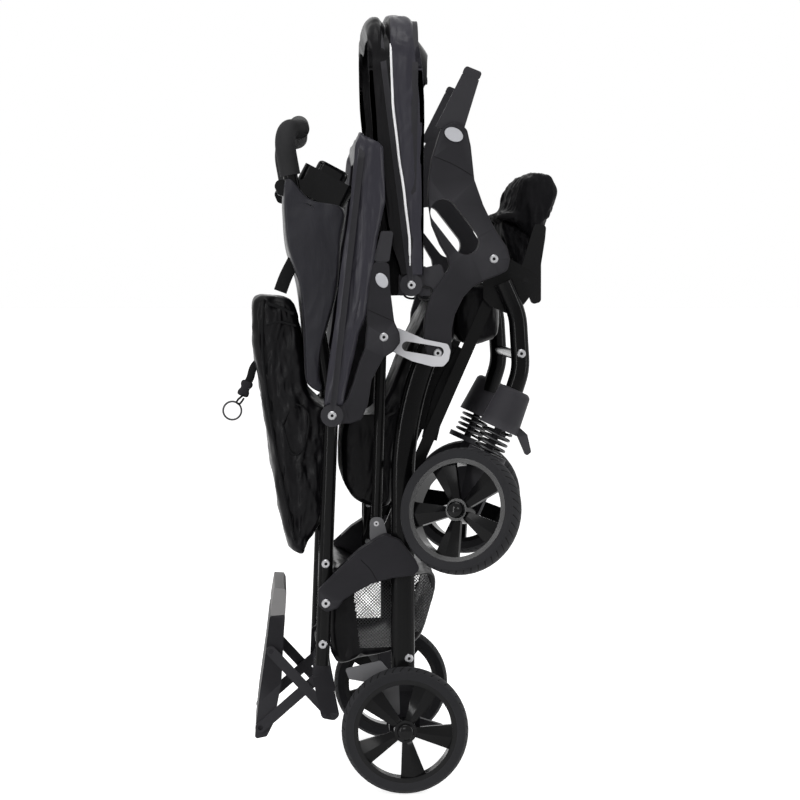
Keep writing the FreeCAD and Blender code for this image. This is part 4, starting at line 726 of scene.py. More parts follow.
def folded(piece: bpy.types.Object, depth: float, size: float, stretch: Place, seed: float) -> bpy.types.Object:
    """Press folds into a filled form, along its own surface normals.

    Args:
        piece: The form.
        depth: The folds' depth in millimetres.
        size: Their size in millimetres.
        stretch: How far each direction is drawn out.
        seed: A number that picks another pattern.

    Returns:
        The same piece.
    """
    mesh = piece.data
    normals = [vertex.normal.copy() for vertex in mesh.vertices]
    for vertex, normal in zip(mesh.vertices, normals):
        x, y, z = (vertex.co - OFFSET) / MM
        height = wrinkle(x, y, z, size, stretch, seed) + 0.5 * wrinkle(x, y, z, size * 0.45, stretch, seed + 3)
        vertex.co += normal * (min(height, 0.35) - 0.35) * depth * MM
    mesh.update()
    return piece


def wrinkle(x: float, y: float, z: float, scale: float, stretch: Place = (1.0, 1.0, 1.0), seed: float = 0.0) -> float:
    """Give a repeatable wrinkle height.

    Args:
        x: Place along X in millimetres.
        y: Place along Y.
        z: Place along Z.
        scale: The wrinkles' size in millimetres.
        stretch: How far each direction is drawn out.
        seed: A number that picks another pattern.

    Returns:
        A height between about minus one and one, with sharp crests.
    """
    place = Vector((x / stretch[0], y / stretch[1], z / stretch[2])) / scale + Vector((seed, seed * 1.7, seed * 0.6))
    base = noise.noise(place)
    fold = 1 - 2 * abs(noise.noise(place * 1.9 + Vector((5.2, 1.3, 2.8))))
    return 0.55 * base + 0.45 * (fold - 0.5)


@dataclass
class Shell:
    """A closed cloth form between two side planes, with crowned ends and wrinkles."""

    name: str
    outline: list[Point]
    half_width: float
    middle: float = 0.0
    around: int = 120
    stations: int = 40
    crown: float = 8.0
    shoulder: float = 14.0
    rings: int = 14
    wrinkles: float = 3.0
    wrinkle_size: float = 60.0
    stretch: Place = (1.0, 1.6, 2.4)
    seed: float = 0.0
    corners: int = 6
    margin_share: float = 0.12
    margin_most: float = 30.0
    second_depth: float = 0.6
    second_size: float = 0.42

    def spine(self, outline: Sequence[Point]) -> list[Point]:
        """Find the middle line of the outline beside each of its points.

        Args:
            outline: The even outline.

        Returns:
            For each point, the place that the end folds in to.
        """
        heights = [z for _, z in outline]
        low, high = min(heights), max(heights)
        margin = min((high - low) * self.margin_share, self.margin_most)
        found = []
        for _, z in outline:
            level = min(max(z, low + margin), high - margin)
            crossings = []
            for (xa, za), (xb, zb) in zip(outline, list(outline[1:]) + [outline[0]]):
                if (za - level) * (zb - level) <= 0 and za != zb:
                    crossings.append(xa + (xb - xa) * (level - za) / (zb - za))
            found.append(((min(crossings) + max(crossings)) / 2, level))
        return found

    def build(self) -> bpy.types.Object:
        """Make the form.

        Returns:
            The mesh object.
        """
        outline = even_outline(smooth_outline(self.outline, self.corners), self.around)
        spine = self.spine(outline)
        rows: list[list[Place]] = []
        for ring in range(self.rings, 0, -1):
            rows.append(self.end_row(outline, spine, ring / self.rings, -1))
        for station in range(self.stations + 1):
            across = -1 + 2 * station / self.stations
            depth = self.shoulder_depth(across)
            rows.append([self.inward(p, s, depth) + (self.middle + across * self.half_width,)
                         for p, s in zip(outline, spine)])
        for ring in range(1, self.rings + 1):
            rows.append(self.end_row(outline, spine, ring / self.rings, 1))
        verts = [self.creased(x, y, z, spine) for row in rows for x, z, y in row]
        return new_mesh(self.name, verts, bands(len(rows), len(outline)))

    def shoulder_depth(self, across: float) -> float:
        """How far the outline draws in near an end.

        Args:
            across: The place from one end, -1, to the other, 1.

        Returns:
            The depth in millimetres.
        """
        beyond = (abs(across) * self.half_width - (self.half_width - self.shoulder)) / self.shoulder
        if beyond <= 0:
            return 0.0
        return self.crown * (1 - math.sqrt(max(1 - beyond * beyond, 0.0)))

    def inward(self, point: Point, target: Point, depth: float) -> Point:
        """Move a point of the outline towards the middle line.

        Args:
            point: The point.
            target: Its place on the middle line.
            depth: How far it moves.

        Returns:
            The moved point.
        """
        reach = math.dist(point, target)
        share = min(depth / reach, 1.0) if reach > 0 else 0.0
        return (point[0] + (target[0] - point[0]) * share, point[1] + (target[1] - point[1]) * share)

    def end_row(self, outline: Sequence[Point], spine: Sequence[Point], share: float, side: int) -> list[Place]:
        """One ring of an end face.

        Args:
            outline: The even outline.
            spine: Its middle line.
            share: From 0 at the rim to 1 on the middle line.
            side: -1 or 1.

        Returns:
            The ring's places as x, z, y.
        """
        row = []
        for point, target in zip(outline, spine):
            start = self.inward(point, target, self.crown)
            x = start[0] + (target[0] - start[0]) * share
            z = start[1] + (target[1] - start[1]) * share
            rise = self.crown * 0.35 * math.sin(share * math.pi / 2)
            row.append((x, z, self.middle + side * (self.half_width + rise)))
        return row

    def creased(self, x: float, y: float, z: float, spine: Sequence[Point]) -> Vector:
        """Place one point with its wrinkle.

        Args:
            x: Its place along X.
            y: Its place along Y.
            z: Its height.
            spine: The form's middle line.

        Returns:
            The place in the row frame.
        """
        lift = self.wrinkles * wrinkle(x, y, z, self.wrinkle_size, self.stretch, self.seed)
        second = self.wrinkles * self.second_depth * wrinkle(x, y, z, self.wrinkle_size * self.second_size,
                                                             self.stretch, self.seed + 3)
        centre = min(spine, key=lambda p: abs(p[1] - z))
        away = 1.0 if x >= centre[0] else -1.0
        side = 1.0 if y >= self.middle else -1.0
        at_end = min(max((abs(y - self.middle) - self.half_width + self.shoulder) / self.shoulder, 0.0), 1.0)
        return spot(x + away * (lift + second) * (1 - 0.6 * at_end), y + side * (lift + 1.3 * second) * at_end,
                    z + 0.3 * second)


def strap_mesh(name: str, verts: Sequence[Vector], count: int) -> bpy.types.Object:
    """Join a strap's rings and close both of its ends.

    Args:
        name: The piece's name.
        verts: The places of its rings.
        count: How many rings it has.

    Returns:
        The strap.
    """
    last = (count - 1) * STRAP_SIDES
    ends = [tuple(range(STRAP_SIDES)), tuple(range(last + STRAP_SIDES - 1, last - 1, -1))]
    return new_mesh(name, verts, bands(count, STRAP_SIDES) + ends)


def ribbon(name: str, path: Sequence[Vector], across: Vector, width: float, thickness: float) -> bpy.types.Object:
    """A flat strap along a path.

    Args:
        name: The piece's name.
        path: Its middle line in the row frame.
        across: The direction of its width.
        width: Its width in metres.
        thickness: Its thickness in metres.

    Returns:
        The strap.
    """
    side = across.normalized() * (width / 2)
    verts = []
    count = len(path)
    for index, place in enumerate(path):
        ahead = (path[min(index + 1, count - 1)] - path[max(index - 1, 0)]).normalized()
        up = ahead.cross(side).normalized() * (thickness / 2)
        for a, b in ((-1, -1), (-0.6, -1.25), (0.6, -1.25), (1, -1), (1, 1), (0.6, 1.25), (-0.6, 1.25), (-1, 1)):
            verts.append(place + side * a + up * b)
    return strap_mesh(name, verts, count)


def face_ribbon(name: str, path: Sequence[Vector], width: float, thickness: float) -> bpy.types.Object:
    """A flat strip whose broad side faces along Y.

    Args:
        name: The piece's name.
        path: Its middle line in the row frame.
        width: Its width in metres.
        thickness: Its thickness along Y in metres.

    Returns:
        The strip.
    """
    verts = []
    count = len(path)
    for index, place in enumerate(path):
        ahead = path[min(index + 1, count - 1)] - path[max(index - 1, 0)]
        side = Vector((-ahead.z, 0.0, ahead.x)).normalized() * (width / 2)
        for a, b in ((-1, -0.5), (-0.8, -1), (0.8, -1), (1, -0.5), (1, 0.5), (0.8, 1), (-0.8, 1), (-1, 0.5)):
            verts.append(place + side * a + Vector((0, thickness / 2 * b, 0)))
    return strap_mesh(name, verts, count)


def tube(name: str, path: Sequence[Vector], radius: float, sides: int = 16) -> bpy.types.Object:
    """A round tube along a smooth path, with domed ends.

    Args:
        name: The piece's name.
        path: The points that it follows.
        radius: Its radius in metres.
        sides: How many sides it has.

    Returns:
        The tube.
    """
    ahead = (path[1] - path[0]).normalized()
    side = ahead.orthogonal().normalized()
    verts = []
    for index, place in enumerate(path):
        step = (path[min(index + 1, len(path) - 1)] - path[max(index - 1, 0)]).normalized()
        side = (side - step * side.dot(step)).normalized()
        up = step.cross(side)
        for k in range(sides):
            angle = 2 * math.pi * k / sides
            verts.append(place + (side * math.cos(angle) + up * math.sin(angle)) * radius)
    ends = [tuple(range(sides - 1, -1, -1)), tuple(range((len(path) - 1) * sides, len(path) * sides))]
    return new_mesh(name, verts, bands(len(path), sides) + ends)


def flowing(points: Sequence[Vector], steps: int = 8) -> list[Vector]:
    """Smooth an open path through its points.

    Args:
        points: The points.
        steps: How many steps each span gets.

    Returns:
        The smooth path.
    """
    ends = [points[0] * 2 - points[1], *points, points[-1] * 2 - points[-2]]
    found = []
    for p0, p1, p2, p3 in zip(ends, ends[1:], ends[2:], ends[3:]):
        for step in range(steps):
            t = step / steps
            found.append(0.5 * (2 * p1 + (p2 - p0) * t + (2 * p0 - 5 * p1 + 4 * p2 - p3) * t * t
                                + (3 * p1 - p0 - 3 * p2 + p3) * t ** 3))
    found.append(points[-1])
    return found


def finish_piece(piece: bpy.types.Object, material: bpy.types.Material, body: str) -> bpy.types.Object:
    """Give a piece its material and body.

    Args:
        piece: The piece.
        material: Its material.
        body: The body that it rides on.

    Returns:
        The same piece.
    """
    piece.data.materials.clear()
    piece.data.materials.append(material)
    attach(piece, body)
    return piece


# Sub-assemblies

@dataclass
class Dressing:
    """Finishes for the rigid pieces that keep their own shape."""

    finishes: dict[str, Finish] = field(default_factory=lambda: dict(SLOT_FINISH))
    special: dict[str, Finish] = field(default_factory=lambda: {"leg_rest_arms": GLOSS_MOULDING})

    def build(self, paints: Paints) -> None:
        """Paint every rigid piece.

        Args:
            paints: The built finishes.
        """
        for name, node in frame["nodes"].items():
            for index, given in enumerate(node.data.materials):
                finish = self.special.get(name) or self.finishes[given.name.split(".")[0]]
                node.data.materials[index] = paints.get(finish)
            LOG.info("dressed %s", name)


@dataclass
class Line:
    """One line of a folded canopy: its distance forward at each height, and how deep it lies."""

    places: list[Point]
    depth: float

    def forward(self, height: float) -> float:
        """Read the line's place at a height.

        Args:
            height: The height above the floor.

        Returns:
            The place along X, in millimetres.
        """
        points = self.places
        if height <= points[0][0]:
            return points[0][1]
        for (za, xa), (zb, xb) in zip(points, points[1:]):
            if height <= zb:
                share = (height - za) / (zb - za)
                share = share * share * (3 - 2 * share) * 0.35 + share * 0.65
                return xa + (xb - xa) * share
        return points[-1][1]


@dataclass
class FoldedCanopy:
    """A canopy whose bows are folded together, as one sheet over both sides and the top.

    Its folds reach inward by side_room at most on the sides, and by corner_room more over the top, in millimetres. On
    the sides that keeps the sheet outside the arms while the canopy turns.
    """

    name: str
    node: str
    body: str
    lines: list[Line]
    low: float
    top: float
    half_width: float
    corner: float
    dark_until: int
    piping: Optional[int] = None
    piping_radius: float = 1.9
    piping_shown: tuple[float, float] = (825.0, 1056.0)
    sheet_thickness: float = 1.4
    stations: int = 210
    across: int = 64
    wrinkles: float = 4.0
    seed: float = 0.0
    crown: float = 0.0
    roof: Optional[tuple[float, float]] = None
    side_room: float = 60.0
    corner_room: float = 40.0
    pivot_reach: float = 60.0
    sag: float = 5.0
    broad_fold: float = 52.0
    fine_fold: float = 21.0
    outward_most: float = 2.5
    sideways: float = 1.6
    roof_edge: float = 4.0
    roof_blend: float = 10.0

    def arch(self, share: float) -> tuple[float, float, float, float]:
        """Walk along the arch from the right pivot to the left one.

        Args:
            share: From 0 to 1.

        Returns:
            The place across and up, and the direction inward.
        """
        side = self.top - self.corner - self.low
        turn = self.corner * math.pi / 2
        flat = 2 * (self.half_width - self.corner)
        total = 2 * side + 2 * turn + flat
        walked = share * total
        mirror = 1.0
        if walked > total / 2:
            walked, mirror = total - walked, -1.0
        if walked <= side:
            y, z, inward = -self.half_width, self.low + walked, (1.0, 0.0)
        elif walked <= side + turn:
            angle = (walked - side) / self.corner
            y = -self.half_width + self.corner * (1 - math.cos(angle))
            z = self.top - self.corner + self.corner * math.sin(angle)
            inward = (math.cos(angle), -math.sin(angle))
        else:
            y = -self.half_width + self.corner + walked - side - turn
            share = y / (self.half_width - self.corner)
            z, inward = self.top + self.crown * (1 - share * share), (0.0, -1.0)
        return y * mirror, z, inward[0] * mirror, inward[1]

    def section(self, height: float, share: float) -> Point:
        """Find the sheet's place across the folded lines.

        Args:
            height: The height that the lines are read at.
            share: From 0 at the rear edge to 1 at the front edge.

        Returns:
            The place along X and the depth.
        """
        knots = [(line.forward(height), line.depth) for line in self.lines]
        place = share * (len(knots) - 1)
        index = min(int(place), len(knots) - 2)
        before, after = knots[max(index - 1, 0)], knots[min(index + 2, len(knots) - 1)]
        return curved(before, knots[index], knots[index + 1], after, place - index)

    def place(self, along: float, share: float, lift: float = 0.0) -> Vector:
        """Place a point of the sheet.

        Args:
            along: From 0 at the right pivot to 1 at the left.
            share: From the rear edge to the front edge.
            lift: How far it stands out of the sheet.

        Returns:
            The place in the row frame.
        """
        y, z, inward_y, inward_z = self.arch(along)
        x, depth = self.section(z, share)
        pressed = 0.0
        if self.roof is not None:
            pressed = min(max((self.half_width - self.roof_edge - abs(y)) / self.roof_blend, 0.0), 1.0)
            ends = [line.forward(z) for line in self.lines]
            spread = max(ends) - min(ends)
            low, high = self.roof
            flat = low + (high - low) * (x - min(ends)) / spread
            x += (flat - x) * pressed
        near_pivot = min(1.0, max(0.0, (z - self.low) / self.pivot_reach))
        sag = self.sag * math.sin(math.pi * along) ** 8 * (0.5 + 0.5 * math.sin(share * 9.0))
        rough = self.wrinkles * (0.25 + 0.75 * near_pivot) * (
            wrinkle(x, y, z, self.broad_fold, (0.7, 1.8, 3.4), self.seed)
            + 0.5 * wrinkle(x, y, z, self.fine_fold, (0.8, 1.6, 2.2), self.seed + 9))
        depth = depth * (0.35 + 0.65 * near_pivot) + sag - lift + max(rough, -self.outward_most) + self.wrinkles * 0.5
        depth = min(depth, self.side_room + self.corner_room * (1 - abs(inward_y)))
        slide = self.sideways * wrinkle(x + 40, y, z, 70.0, (1.0, 1.0, 2.6), self.seed + 5)
        slide *= near_pivot * (1 - pressed)
        return spot(x + slide, y + inward_y * depth, z + inward_z * depth)

    def piping_lift(self, along: float) -> float:
        """How far the piping stands out, sunk behind the panel where its fold covers it.

        Args:
            along: From 0 at the right pivot to 1 at the left.

        Returns:
            The lift in millimetres.
        """
        height = self.arch(along)[1]
        low, high = self.piping_shown
        shown = min(max((height - low + 20) / 20, 0.0), 1.0) * min(max((high + 20 - height) / 20, 0.0), 1.0)
        return self.piping_radius * 0.8 + 4.0 * shown - 5.0 * (1 - shown)

    def build(self, paints: Paints) -> None:
        """Make the sheet and its piping.

        Args:
            paints: The built finishes.
        """
        verts = [self.place(station / self.stations, step / self.across)
                 for station in range(self.stations + 1) for step in range(self.across + 1)]
        kinds = [0 if step / self.across * (len(self.lines) - 1) < self.dark_until else 1
                 for step in range(self.across)] * self.stations
        mesh = bpy.data.meshes.new(self.name)
        mesh.from_pydata([tuple(v) for v in verts], [], sheet_faces(self.stations, self.across))
        mesh.materials.append(paints.get(DARK_CLOTH))
        mesh.materials.append(paints.get(PANEL_CLOTH))
        for polygon, kind in zip(mesh.polygons, kinds):
            polygon.material_index = kind
            polygon.use_smooth = True
        sheet = placed(self.name, mesh)
        thick = sheet.modifiers.new("cloth", "SOLIDIFY")
        thick.thickness = self.sheet_thickness * MM
        thick.offset = 0.0
        settled(sheet)
        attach(sheet, self.body)
        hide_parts(self.node)
        if self.piping is not None:
            share = self.piping / (len(self.lines) - 1)
            walk = [0.012 + 0.976 * step / 160 for step in range(161)]
            path = [self.place(along, share, self.piping_lift(along)) for along in walk]
            cord = tube(self.name + "_piping", path, self.piping_radius * MM, 10)
            finish_piece(cord, paints.get(PIPING_WHITE), self.body)


FRONT_CANOPY = FoldedCanopy(
    name="front_canopy_sheet", node="front_canopy_cloth", body="front_canopy",
    lines=[
        Line([(783, -3), (836, -20), (995, -40), (1100, -48), (1180, -49)], 34.0),
        Line([(783, -6), (836, -25), (995, -47), (1062, -53), (1139, -55), (1180, -56)], 14.0),
        Line([(783, -4), (836, -20), (995, -42), (1100, -48), (1180, -49)], 2.0),
        Line([(783, 0), (836, -12), (995, -31), (1100, -37), (1180, -38)], 1.0),
        Line([(783, 4), (836, -5), (995, -22), (1100, -27), (1180, -28)], 14.0),
        Line([(783, 9), (837, 8), (898, 1), (967, -9), (1043, -18), (1115, -20), (1180, -20)], 2.5),
        Line([(783, 13), (898, 6), (1043, -6), (1180, -9)], 0.0),
        Line([(783, 19), (898, 18), (1043, 12), (1180, 4)], 0.0),
        Line([(783, 26), (898, 27), (1043, 25), (1154, 14), (1180, 11)], 3.0),
        Line([(783, 29), (898, 30), (1043, 30), (1082, 28), (1154, 19), (1180, 15)], 12.0),
        Line([(783, 24), (898, 24), (1043, 23), (1154, 12), (1180, 8)], 34.0)],
    low=783.0, top=1181.0, half_width=225.0, corner=82.0, dark_until=5, piping=5, seed=1.0, crown=11.0,
    side_room=2.6)

REAR_CANOPY = FoldedCanopy(
    name="rear_canopy_sheet", node="rear_canopy_cloth", body="rear_canopy",
    lines=[
        Line([(588, -116), (746, -93), (910, -72), (1000, -64)], 30.0),
        Line([(588, -121), (746, -101), (910, -80), (1000, -72)], 12.0),
        Line([(588, -118), (668, -104), (744, -85), (835, -75), (1000, -72)], 4.0),
        Line([(588, -114), (668, -98), (744, -76), (835, -68), (1000, -69)], 1.0),
        Line([(588, -109), (668, -90), (744, -70), (835, -61), (1000, -62)], 0.0),
        Line([(588, -104), (690, -80), (835, -52), (1000, -54)], 1.0),
        Line([(588, -98), (690, -75), (729, -63), (835, -46), (895, -35), (977, -38), (1000, -44)], 3.0),
        Line([(588, -94), (690, -71), (729, -58), (835, -42), (895, -30), (977, -33), (1000, -40)], 12.0),
        Line([(588, -100), (690, -77), (835, -49), (895, -37), (1000, -45)], 30.0)],
    low=588.0, top=999.0, half_width=256.0, corner=30.0, dark_until=0, seed=4.0, roof=(-69.0, -61.0))


@dataclass
class FrontVisor:
    """The stiff brim that lies folded against the front of the front canopy."""

    low: float = 1090.0
    high: float = 1150.0
    reach: float = 40.0
    half_width: float = 200.0
    overhang: float = 22.0
    thickness: float = 3.0
    stations: int = 60
    bend: float = 60.0
    flat_share: float = 0.72
    bent_share: float = 0.28

    def build(self, paints: Paints) -> None:
        """Make the brim.

        Args:
            paints: The built finishes.
        """
        section = [(13, self.high), (22, self.high - 6), (31, self.high - 18), (self.reach - 1, self.high - 29),
                   (self.reach, self.high - 34), (self.reach - 4, self.high - 38), (33, self.low + 10),
                   (27, self.low + 2), (22, self.low)]
        verts = []
        for station in range(self.stations + 1):
            share = -1 + 2 * station / self.stations
            edge = max(0.0, abs(share) - self.flat_share) / self.bent_share
            for x, z in section:
                drop = self.bend * edge * edge
                verts.append(spot(x - 5 * edge + 1.2 * wrinkle(x, share * self.half_width, z, 60.0),
                                  share * (self.half_width + self.overhang), z - drop * (0.9 if z > 1120 else 0.75)))
        brim = new_mesh("front_canopy_brim", verts, sheet_faces(self.stations, len(section) - 1))
        thick = brim.modifiers.new("cloth", "SOLIDIFY")
        thick.thickness = self.thickness * MM
        thick.offset = -1.0
        settled(rounded(brim))
        finish_piece(brim, paints.get(DARK_CLOTH), "front_canopy")


@dataclass
class SoftBag:
    """A hanging or padded cloth form. It can be filled and given net windows."""

    shell: Shell
    node: Optional[str]
    body: str
    finish: Finish
    slot: str
    fill: float = 0.35
    net: Optional[Finish] = None
    windows: Sequence[Sequence[Point]] = ()
    puff: float = 0.0
    crushed_by: Optional[str] = None
    crushed_to: float = 1.0

    def build(self, paints: Paints) -> bpy.types.Object:
        """Args:
            paints: The built finishes.

        Returns:
            The form.
        """
        piece = rounded(self.shell.build())
        if self.puff:
            piece = puffed(piece, PUFF_CELL, self.puff * MM)
            piece = folded(piece, self.shell.wrinkles, self.shell.wrinkle_size, self.shell.stretch, self.shell.seed)
        finish_piece(piece, paints.get(self.finish), self.body)
        if self.node:
            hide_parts(self.node)
        if self.crushed_by is not None:
            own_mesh(piece)
        if self.net is not None:
            self.open_windows(piece, paints.get(self.net))
        LOG.info("%s made", piece.name)
        return piece

    def open_windows(self, piece: bpy.types.Object, net: bpy.types.Material) -> None:
        """Give the end faces inside the windows the net.

        Args:
            piece: The form.
            net: The net's material.
        """
        piece.data.materials.append(net)
        for polygon in piece.data.polygons:
            place = (polygon.center - OFFSET) / MM
            at_end = abs(place.y - self.shell.middle) > self.shell.half_width - 6.0
            if at_end and any(inside(place.x, place.z, window) for window in self.windows):
                polygon.material_index = 1


HANDLE_POUCH = SoftBag(Shell(
    "pouch_bag", [(-179, 932), (-179, 838), (-160, 770), (-152, 700), (-149, 632), (-142, 614), (-123, 606),
                  (-127, 632), (-122, 682), (-101, 760), (-94, 836), (-91, 884), (-140, 897)],
    half_width=212.0, crown=3.0, shoulder=8.0, wrinkles=2.0, wrinkle_size=80.0, seed=2.0, around=150, stations=50,
    corners=8),
    "handle_pouch", "handle", POUCH_CLOTH, "dark_cloth", fill=0.3)

REAR_BAG = SoftBag(Shell(
    "rear_seat_bag_cloth", [(-222, 752), (-226, 748), (-229, 738), (-228, 680), (-224, 648), (-217, 604), (-208, 544),
                            (-198, 480), (-186, 412), (-176, 372), (-171, 363), (-163, 358), (-151, 356), (-144, 374),
                            (-119, 420), (-115, 500), (-112.5, 572), (-124, 585), (-145, 607), (-152, 660),
                            (-160, 715), (-167, 738), (-180, 749), (-212, 753)],
    half_width=184.0, crown=8.0, shoulder=18.0, wrinkles=6.5, wrinkle_size=44.0, stretch=(0.8, 1.4, 2.6), seed=7.0,
    around=180, stations=60),
    "rear_seat_bag", "handle", DARK_CLOTH, "dark_cloth", fill=0.25)

LEG_PAD = SoftBag(Shell(
    "leg_rest_cushion", [(207, 945), (228, 940), (234, 928), (239, 914), (234, 888), (224, 862), (213, 841),
                         (200, 839), (177, 862), (142, 870), (157, 881), (170, 885), (178, 915), (192, 935)],
    half_width=144.0, crown=8.0, shoulder=16.0, wrinkles=4.5, wrinkle_size=30.0, stretch=(0.7, 1.3, 2.2), seed=11.0,
    around=110, stations=44),
    "leg_rest_pad", "leg_rest", PAD_VINYL, "pad_vinyl", fill=0.6, puff=2.5)

LEG_APRON = SoftBag(Shell(
    "leg_rest_apron", [(158, 868), (184, 856), (206, 842), (213, 836), (206, 812), (196, 792), (183, 789), (171, 812),
                       (159, 842)],
    half_width=126.0, crown=6.0, shoulder=12.0, wrinkles=5.0, wrinkle_size=26.0, stretch=(0.7, 1.2, 2.6), seed=23.0,
    around=100, stations=40),
    None, "leg_rest", PAD_VINYL, "pad_vinyl", fill=0.2)

BASKET = SoftBag(Shell(
    "basket_cloth", [(-109, 329), (-60, 317), (10, 321), (40, 327), (51, 315), (45, 276), (26, 226), (-8, 210),
                     (-60, 197), (-107, 198)],
    half_width=181.0, crown=7.0, shoulder=14.0, wrinkles=4.0, wrinkle_size=46.0, seed=13.0, around=170, stations=50),
    "basket", "frame", DARK_CLOTH, "dark_cloth", fill=0.2, net=BASKET_NET, crushed_by="handle_fold", crushed_to=0.4,
    windows=[[(-78, 320), (-20, 314), (-10, 214), (-66, 212)], [(8, 322), (37, 326), (47, 298), (40, 258),
                                                                  (24, 236), (8, 236)]])

FRONT_SEAT = SoftBag(Shell(
    "front_seat_cushion", [(81, 763), (108, 775), (141, 763), (149, 735), (149, 691), (112, 677), (85, 685)],
    half_width=144.0, crown=7.0, shoulder=14.0, wrinkles=2.5, wrinkle_size=50.0, seed=17.0, around=90, stations=36),
    "front_seat", "frame", DARK_CLOTH, "dark_cloth", fill=0.5, puff=3.0)

SEAT_BACK = SoftBag(Shell(
    "front_seat_back_cloth", [(-83, 565), (-37, 571), (19, 690), (59, 763), (79, 757), (82, 688), (61, 665),
                              (21, 601), (-9, 521), (-15, 437), (-40, 425), (-75, 441), (-91, 480)],
    half_width=145.0, crown=6.0, shoulder=12.0, wrinkles=3.5, wrinkle_size=50.0, seed=19.0, around=150, stations=44),
    "front_seat_back", "frame", DARK_CLOTH, "dark_cloth", fill=0.4)


@dataclass(frozen=True)
class Strip:
    """A flat strip that lies in a side plane: a strap, a tape or a moulding's parting line."""

    name: str
    body: str
    slot: str
    finish: Finish
    points: tuple[Point, ...]
    plane: float
    width: float
    thickness: float

    def build(self, paints: Paints) -> None:
        """Make the strip on both sides.

        Args:
            paints: The built finishes.
        """
        for label, side in SIDES:
            path = flowing([spot(x, side * self.plane, z) for x, z in self.points])
            strip = face_ribbon(f"{self.name}_{label}", path, self.width * MM, self.thickness * MM)
            finish_piece(strip, paints.get(self.finish), self.body)


STRIPS = (
    Strip("arm_parting_line", "frame", "dark_plastic", SEAM_AND_RECESS_SHADE, ((45, 962), (74, 950), (103, 933)), 220.1, 0.9, 0.4),
    Strip("rear_arm_parting_line", "rear_arm", "dark_plastic", SEAM_AND_RECESS_SHADE, ((-56, 731), (-36, 722), (-16, 713)), 250.1,
          0.9, 0.4),
    Strip("elbow_parting_line", "frame", "dark_plastic", SEAM_AND_RECESS_SHADE, ((-66, 352), (-52, 338), (-40, 318)), 224.1, 0.9,
          0.4),
    Strip("seat_strap", "frame", "webbing", WEBBING, ((95, 669), (72, 628), (57, 592), (42, 531)), 152.0, 24.0, 1.6),
    Strip("harness_strap", "frame", "webbing", WEBBING, ((-14, 836), (-15, 795), (-14, 752)), 186.0, 20.0, 1.6),
    Strip("bag_hook_strap", "handle", "webbing", WEBBING, ((-166, 806), (-178, 782), (-187, 758)), 178.0, 20.0, 1.5),
    Strip("bag_edge_piping", "handle", "webbing", SEAM_TAPE, ((-212, 747), (-214, 700), (-213, 654), (-205, 585),
                                                              (-194, 515), (-180, 445), (-166, 380)), 187.0, 4.0, 4.0),
    Strip("bag_flap_edge", "handle", "webbing", SEAM_TAPE, ((-206, 740), (-184, 733), (-166, 724)), 187.0, 5.0, 3.0),
    Strip("bag_flap_hem", "handle", "webbing", SEAM_TAPE, ((-209, 707), (-188, 712), (-162, 706)), 187.5, 4.0, 3.0),
    Strip("bag_pocket_edge", "handle", "webbing", SEAM_TAPE, ((-184, 556), (-166, 586), (-144, 570), (-151, 522),
                                                              (-170, 512), (-184, 556)), 188.0, 3.0, 2.6),
    Strip("clip_buckle", "frame", "dark_plastic", GLOSS_MOULDING, ((24, 767), (41, 762), (38, 746), (22, 750),
                                                                   (24, 767)), 216.5, 3.4, 2.6),
)


@dataclass(frozen=True)
class OvalStud:
    """A low oval stud on a side face, such as a push button."""

    name: str
    body: str
    slot: str
    finish: Finish
    place: Point
    plane: float
    length: float
    width: float
    rise: float
    angle: float
    sides: int = 40

    def build(self, paints: Paints) -> None:
        """Make the stud on both sides.

        Args:
            paints: The built finishes.
        """
        turn = math.radians(self.angle)
        profile = ((1.0, -0.6), (1.0, 0.35), (0.93, 0.7), (0.8, 0.88), (0.5, 0.97), (0.15, 1.0))
        for label, side in SIDES:
            verts = []
            for share, rise in profile:
                for step in range(self.sides):
                    angle = 2 * math.pi * step / self.sides
                    a = math.cos(angle) * self.length / 2 * share
                    b = math.sin(angle) * self.width / 2 * share
                    verts.append(spot(self.place[0] + a * math.cos(turn) - b * math.sin(turn),
                                      side * (self.plane + self.rise * rise),
                                      self.place[1] + a * math.sin(turn) + b * math.cos(turn)))
            ends = [tuple(range(self.sides)), tuple(range(len(verts) - self.sides, len(verts)))]
            stud = new_mesh(f"{self.name}_{label}", verts, bands(len(profile), self.sides) + ends)
            finish_piece(stud, paints.get(self.finish), self.body)


STUDS = (
    OvalStud("rear_arm_button", "rear_arm", "button_silver", BUTTON_SILVER, (-35.0, 775.0), 250.0, 24.0, 17.0, 1.6,
             -60.0),
)


def surface_tree(name: str) -> BVHTree:
    """Index a CAD node's surface, so that small details can be laid on it.

    Args:
        name: The node.

    Returns:
        The index.
    """
    mesh = frame["nodes"][name].data
    return BVHTree.FromPolygons([vertex.co for vertex in mesh.vertices],
                                [tuple(polygon.vertices) for polygon in mesh.polygons])


def wheel_axle(wheel: str) -> tuple[Vector, Vector]:
    """Find a wheel's middle and the direction of its axle.

    Args:
        wheel: The wheel's body.

    Returns:
        The middle, and the direction that points away from the stroller's middle plane.
    """
    joint = next(joint for joint in frame["joints"] if joint["child"] == wheel)
    middle, axle = Vector(joint["pos_m"]), Vector(joint["axis"]).normalized()
    return middle, axle if axle.y * (middle.y - OFFSET.y) > 0 else -axle


